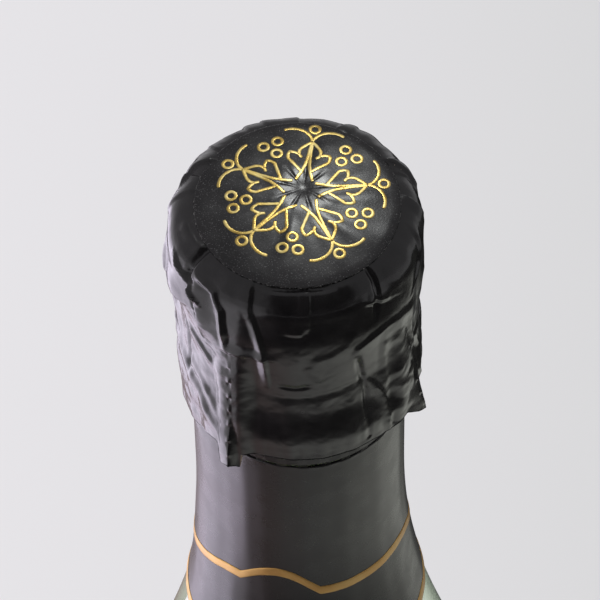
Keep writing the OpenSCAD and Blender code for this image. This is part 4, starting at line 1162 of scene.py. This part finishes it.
paper = grained(
    new_finish("laid_label_paper", (0.84, 0.8, 0.69), 0.72, Specular_IOR_Level=0.3,
               Sheen_Weight=0.1),
    (5200, 90, 0.62, 0.82), [(0.25, (0.78, 0.73, 0.6)), (0.75, (0.87, 0.83, 0.73))], 0.00006,
    relief=laid_lines)


def paper_sheet(name, turn, chord, height, node):
    """A sheet bent round the body: even steps of turn and height, a hair thicker at its middle
    than at its edges. Its upright edges are closed by strips of their own."""
    half_turn = math.degrees(math.asin(chord / 2 / PAPER_R))
    across, up = np.meshgrid(np.linspace(-1, 1, SHEET_COLS), np.linspace(-1, 1, SHEET_ROWS))
    edge = clamp((1 - np.maximum(abs(across), abs(up))) / 0.03)
    turns, z = turn + half_turn * across, LABEL_Z + height / 2 * up
    outer = about(turns, PAPER_R + 0.09 + 0.06 * ease(edge), z)
    inner = about(turns, PAPER_R + 0 * across, z)
    grid = np.concatenate([outer, inner[::-1]])
    row = np.arange(SHEET_ROWS - 1)
    faces = [quads(len(grid), SHEET_COLS, closed_rows=True)]
    for side in (0, SHEET_COLS - 1):
        front = row * SHEET_COLS + side
        back = (len(grid) - 1 - row) * SHEET_COLS + side
        strip = np.stack([front, front + SHEET_COLS, back - SHEET_COLS, back], 1)
        faces.append(strip if side == 0 else strip[:, ::-1])
    piece(name, grid.reshape(-1, 3), np.concatenate(faces), "bottle", [paper],
          [node])


paper_sheet("front_paper", 0, 78, 80, "front_label")
paper_sheet("back_paper", 180, 56, 62, "back_label")


def on_paper(turn):
    """How a flat drawing in millimetres is laid on a label centred on a turn."""
    def lay(flat, lift):
        return about(turn + np.degrees(flat[:, 0] / PAPER_R), PAPER_R + 0.155 + lift,
                     LABEL_Z + flat[:, 1])
    return lay


def frame_line(half_width, half_height, notch):
    """A rectangle whose corners are cut in by a quarter circle, drawn as a closed line."""
    a = np.radians(np.linspace(0, 90, 10))
    cut = np.array([half_width, half_height]) - notch * np.stack([np.sin(a), np.cos(a)], 1)
    return np.concatenate([cut * [-1, 1], cut[::-1], cut * [1, -1], -cut[::-1]])


printed_gold = grained(
    new_finish("printed_gold", (0.74, 0.55, 0.22), 0.45, 0.4), (3600, 500, 0.36, 0.52),
    [(0.3, (0.66, 0.47, 0.17)), (0.7, (0.82, 0.63, 0.28))], 0.000008)
front_gold = [(frame_line(41, 36.5, 4), True, 0.8), (frame_line(39, 34.5, 4), True, 0.3)]
front_gold += [(line, closed, 0.5) for line, closed in ornament_lines(17.0)]
back_gold = [(frame_line(27, 28, 3), True, 0.6), (frame_line(25.4, 26.4, 3), True, 0.25)]
for gilding_name, turn, drawing in (("front_label_gilding", 0, front_gold),
                                    ("back_label_gilding", 180, back_gold)):
    points, faces, caps = joined([stamped(line, closed, width, 0.04, on_paper(turn), 0.35)
                                  for line, closed, width in drawing])
    piece(gilding_name, points, faces, "bottle", [printed_gold], ends=caps)

# Studio: a pale table, a large soft light on the left with a glowing panel low under it, a small
# lamp high at the back and a fill on the right. The foil also sees two cards that glow only in
# its reflections, one on the table and one in front: painted reflections of the lit table round
# the bottle, with painted shade near it, far off and in front.
STAGE_CORNERS = [(-6, -6, 0), (6, -6, 0), (6, 6, 0), (-6, 6, 0)]


def stage_face(name, corners, paint):
    """One flat face of the stage between four corners."""
    mesh = bpy.data.meshes.new(name)
    mesh.from_pydata(corners, [], [(0, 1, 2, 3)])
    mesh.materials.append(paint)
    made = linked(name, mesh)
    return made


def directly_seen(tree, reflected):
    """One for rays from the camera, also through glass, and a share for reflected ones."""
    rays = make(tree, "ShaderNodeLightPath").outputs
    return sums(tree, "MAXIMUM", rays["Is Camera Ray"],
                sums(tree, "MAXIMUM", rays["Is Transmission Ray"],
                     sums(tree, "MULTIPLY", rays["Is Glossy Ray"], reflected)))


def blended(tree, share, one, other, output):
    """Blends one shader into another by a share and gives it to the output's surface."""
    n = make(tree, "ShaderNodeMixShader")
    for k, socket in enumerate((share, one.outputs[0], other.outputs[0])):
        tree.links.new(socket, n.inputs[k])
    tree.links.new(n.outputs[0], tree.nodes[output].inputs["Surface"])


table_paint, tree, shader, where = new_finish("pale_table", (0.72, 0.715, 0.73), 0.9,
                                              Specular_IOR_Level=0.1)
tree.links.new(ramp(tree, noise(tree, where, 3, 3), [(0.3, (0.70, 0.695, 0.712)),
                                                     (0.7, (0.74, 0.735, 0.748))]),
               shader.inputs["Base Color"])
# Painted light: for rays from the camera the table glows lighter on the left, under the soft light,
# and darker on the right.
painted_table_light = make(tree, "ShaderNodeEmission")
tree.links.new(ramp(tree, spread(tree, parted(tree, where)["X"], -0.09, 0.09, 0, 1),
                    [(0.0, (0.88, 0.865, 0.89)), (0.5, (0.83, 0.82, 0.84)),
                     (1.0, (0.75, 0.75, 0.757))]), painted_table_light.inputs["Color"])
blended(tree, sums(tree, "MULTIPLY", directly_seen(tree, 0.5), 0.8), shader, painted_table_light,
        "Material Output")
stage_face("table_top", STAGE_CORNERS, table_paint)

reflection_card_paint, tree, shader, where = new_finish("painted_reflection_card", (0.0, 0.0, 0.0), 1.0,
                                             Specular_IOR_Level=0.0)
sideways = parted(tree, where)["X"]
forward = sums(tree, "MULTIPLY", parted(tree, where)["Y"], -1.0)
bearing = sums(tree, "ARCTAN2", sideways, forward)
distance = sums(tree, "SQRT", sums(tree, "ADD", sums(tree, "MULTIPLY", forward, forward),
                                   sums(tree, "MULTIPLY", sideways, sideways)))
# Painted reflection: a ring of table 16 to 21 cm round the bottle glows in a tone that changes with
# the bearing. Near the bottle and far off it is nearly black, which is painted shade, and so is the
# far-off front card.
around = ramp(tree, spread(tree, bearing, -1.2, 3.0, 0, 1),
              [(0.12, (0.3, 0.23, 0.22)), (0.286, (0.46, 0.46, 0.44)), (0.536, (0.58, 0.59, 0.54)),
               (0.66, (0.66, 0.67, 0.61)), (0.82, (0.6, 0.61, 0.56)), (0.9, (0.05, 0.05, 0.05))])
outward = ramp(tree, spread(tree, distance, 0.0, 0.5, 0, 1),
               [(0.2, (0.15, 0.15, 0.15)), (0.32, (1, 1, 1)), (0.425, (1, 1, 1)),
                (0.49, (0.06, 0.06, 0.06))])
tree.links.new(mixed(tree, outward, (0.0, 0.0, 0.0), around), shader.inputs["Emission Color"])
shader.inputs["Emission Strength"].default_value = 1.0
cards = (("table_card", [(-0.35, -0.9, 0.002), (0.7, -0.9, 0.002), (0.7, 0.5, 0.002),
                         (-0.09, 0.5, 0.002)]),
         ("front_card", [(-0.45, -1.0, 0.0), (0.9, -1.0, 0.0), (0.9, -0.75, 1.6),
                         (-0.45, -0.75, 1.6)]))
for card_name, corners in cards:
    card = stage_face(card_name, corners, reflection_card_paint)
    card.visible_camera = False
    card.visible_diffuse = False
    card.visible_transmission = False
    card.visible_shadow = False


def soft_light(name, place, aim, width, height, power, colour):
    """A rectangular soft light that faces a point and is out of the camera's sight."""
    data = bpy.data.lights.new(name, "AREA")
    data.shape = "RECTANGLE"
    data.size = width
    data.size_y = height
    data.energy = power
    data.color = colour
    made = linked(name, data)
    made.location = place
    made.rotation_mode = "QUATERNION"
    made.rotation_quaternion = (Vector(place) - Vector(aim)).to_track_quat("Z", "Y")
    made.visible_camera = False
    return made


softbox = soft_light("left_softbox", (-0.85, 0.12, 0.5), (0, 0, 0.25), 0.9, 1.0, 9.0,
                     (1.0, 0.96, 1.03))
softbox.visible_glossy = False
soft_light("left_table_reflector", (-0.285, 0.15, 0.012), (-0.285, 0.15, 1.0), 0.32, 0.44, 0.62,
           (0.92, 0.83, 1.04))
soft_light("back_lamp", (0.05, 0.6, 1.1), (0, 0, 0.318), 0.11, 0.11, 0.8,
           (0.95, 0.98, 0.96))
fill = soft_light("right_fill", (0.9, -0.1, 0.35), (0, 0, 0.2), 0.5, 0.8, 1.0,
                  (0.94, 1.0, 0.93))
fill.visible_glossy = False

world = bpy.data.worlds.new("soft_room")
bpy.context.scene.world = world
world.use_nodes = True
tree = world.node_tree
room = tree.nodes["Background"]
room.inputs["Color"].default_value = (0.42, 0.42, 0.43, 1)
room.inputs["Strength"].default_value = 0.55
plain_sky = make(tree, "ShaderNodeBackground")
plain_sky.inputs["Color"].default_value = (0.72, 0.715, 0.728, 1)
blended(tree, directly_seen(tree, 0.1), room, plain_sky, "World Output")

# Camera: half a metre from the crown, 54 degrees above it, with a long lens and a slight roll.
CAMERA_RISE = 54.3
CAMERA_ROLL = 1.25
CAMERA_AWAY = 0.537
CROWN_Z = 0.319
IMAGE_PIXELS = 600
LENS_PIXELS = 3960.0
CROWN_PX, CROWN_PY = 297.3, 201.5
SENSOR = 36.0
rise, roll = math.radians(CAMERA_RISE), math.radians(CAMERA_ROLL)
look = Vector((0, math.cos(rise), -math.sin(rise)))
level = Vector((1, 0, 0))
upward = level.cross(look)
right = level * math.cos(roll) - upward * math.sin(roll)
upright = level * math.sin(roll) + upward * math.cos(roll)
per_pixel = CAMERA_AWAY / LENS_PIXELS
place = (Vector((0, 0, CROWN_Z)) - look * CAMERA_AWAY
         - right * ((CROWN_PX - IMAGE_PIXELS / 2) * per_pixel)
         - upright * ((IMAGE_PIXELS / 2 - CROWN_PY) * per_pixel))
camera_data = bpy.data.cameras.new("photo_camera")
camera_data.lens = LENS_PIXELS / IMAGE_PIXELS * SENSOR
camera_data.sensor_width = SENSOR
camera_data.clip_start = 0.01
camera_data.clip_end = 50
camera = linked("photo_camera", camera_data)
axes = Matrix((right, upright, -look)).transposed().to_4x4()
axes.translation = place
camera.matrix_world = axes
bpy.context.scene.camera = camera
bpy.context.scene.view_settings.view_transform = "Standard"
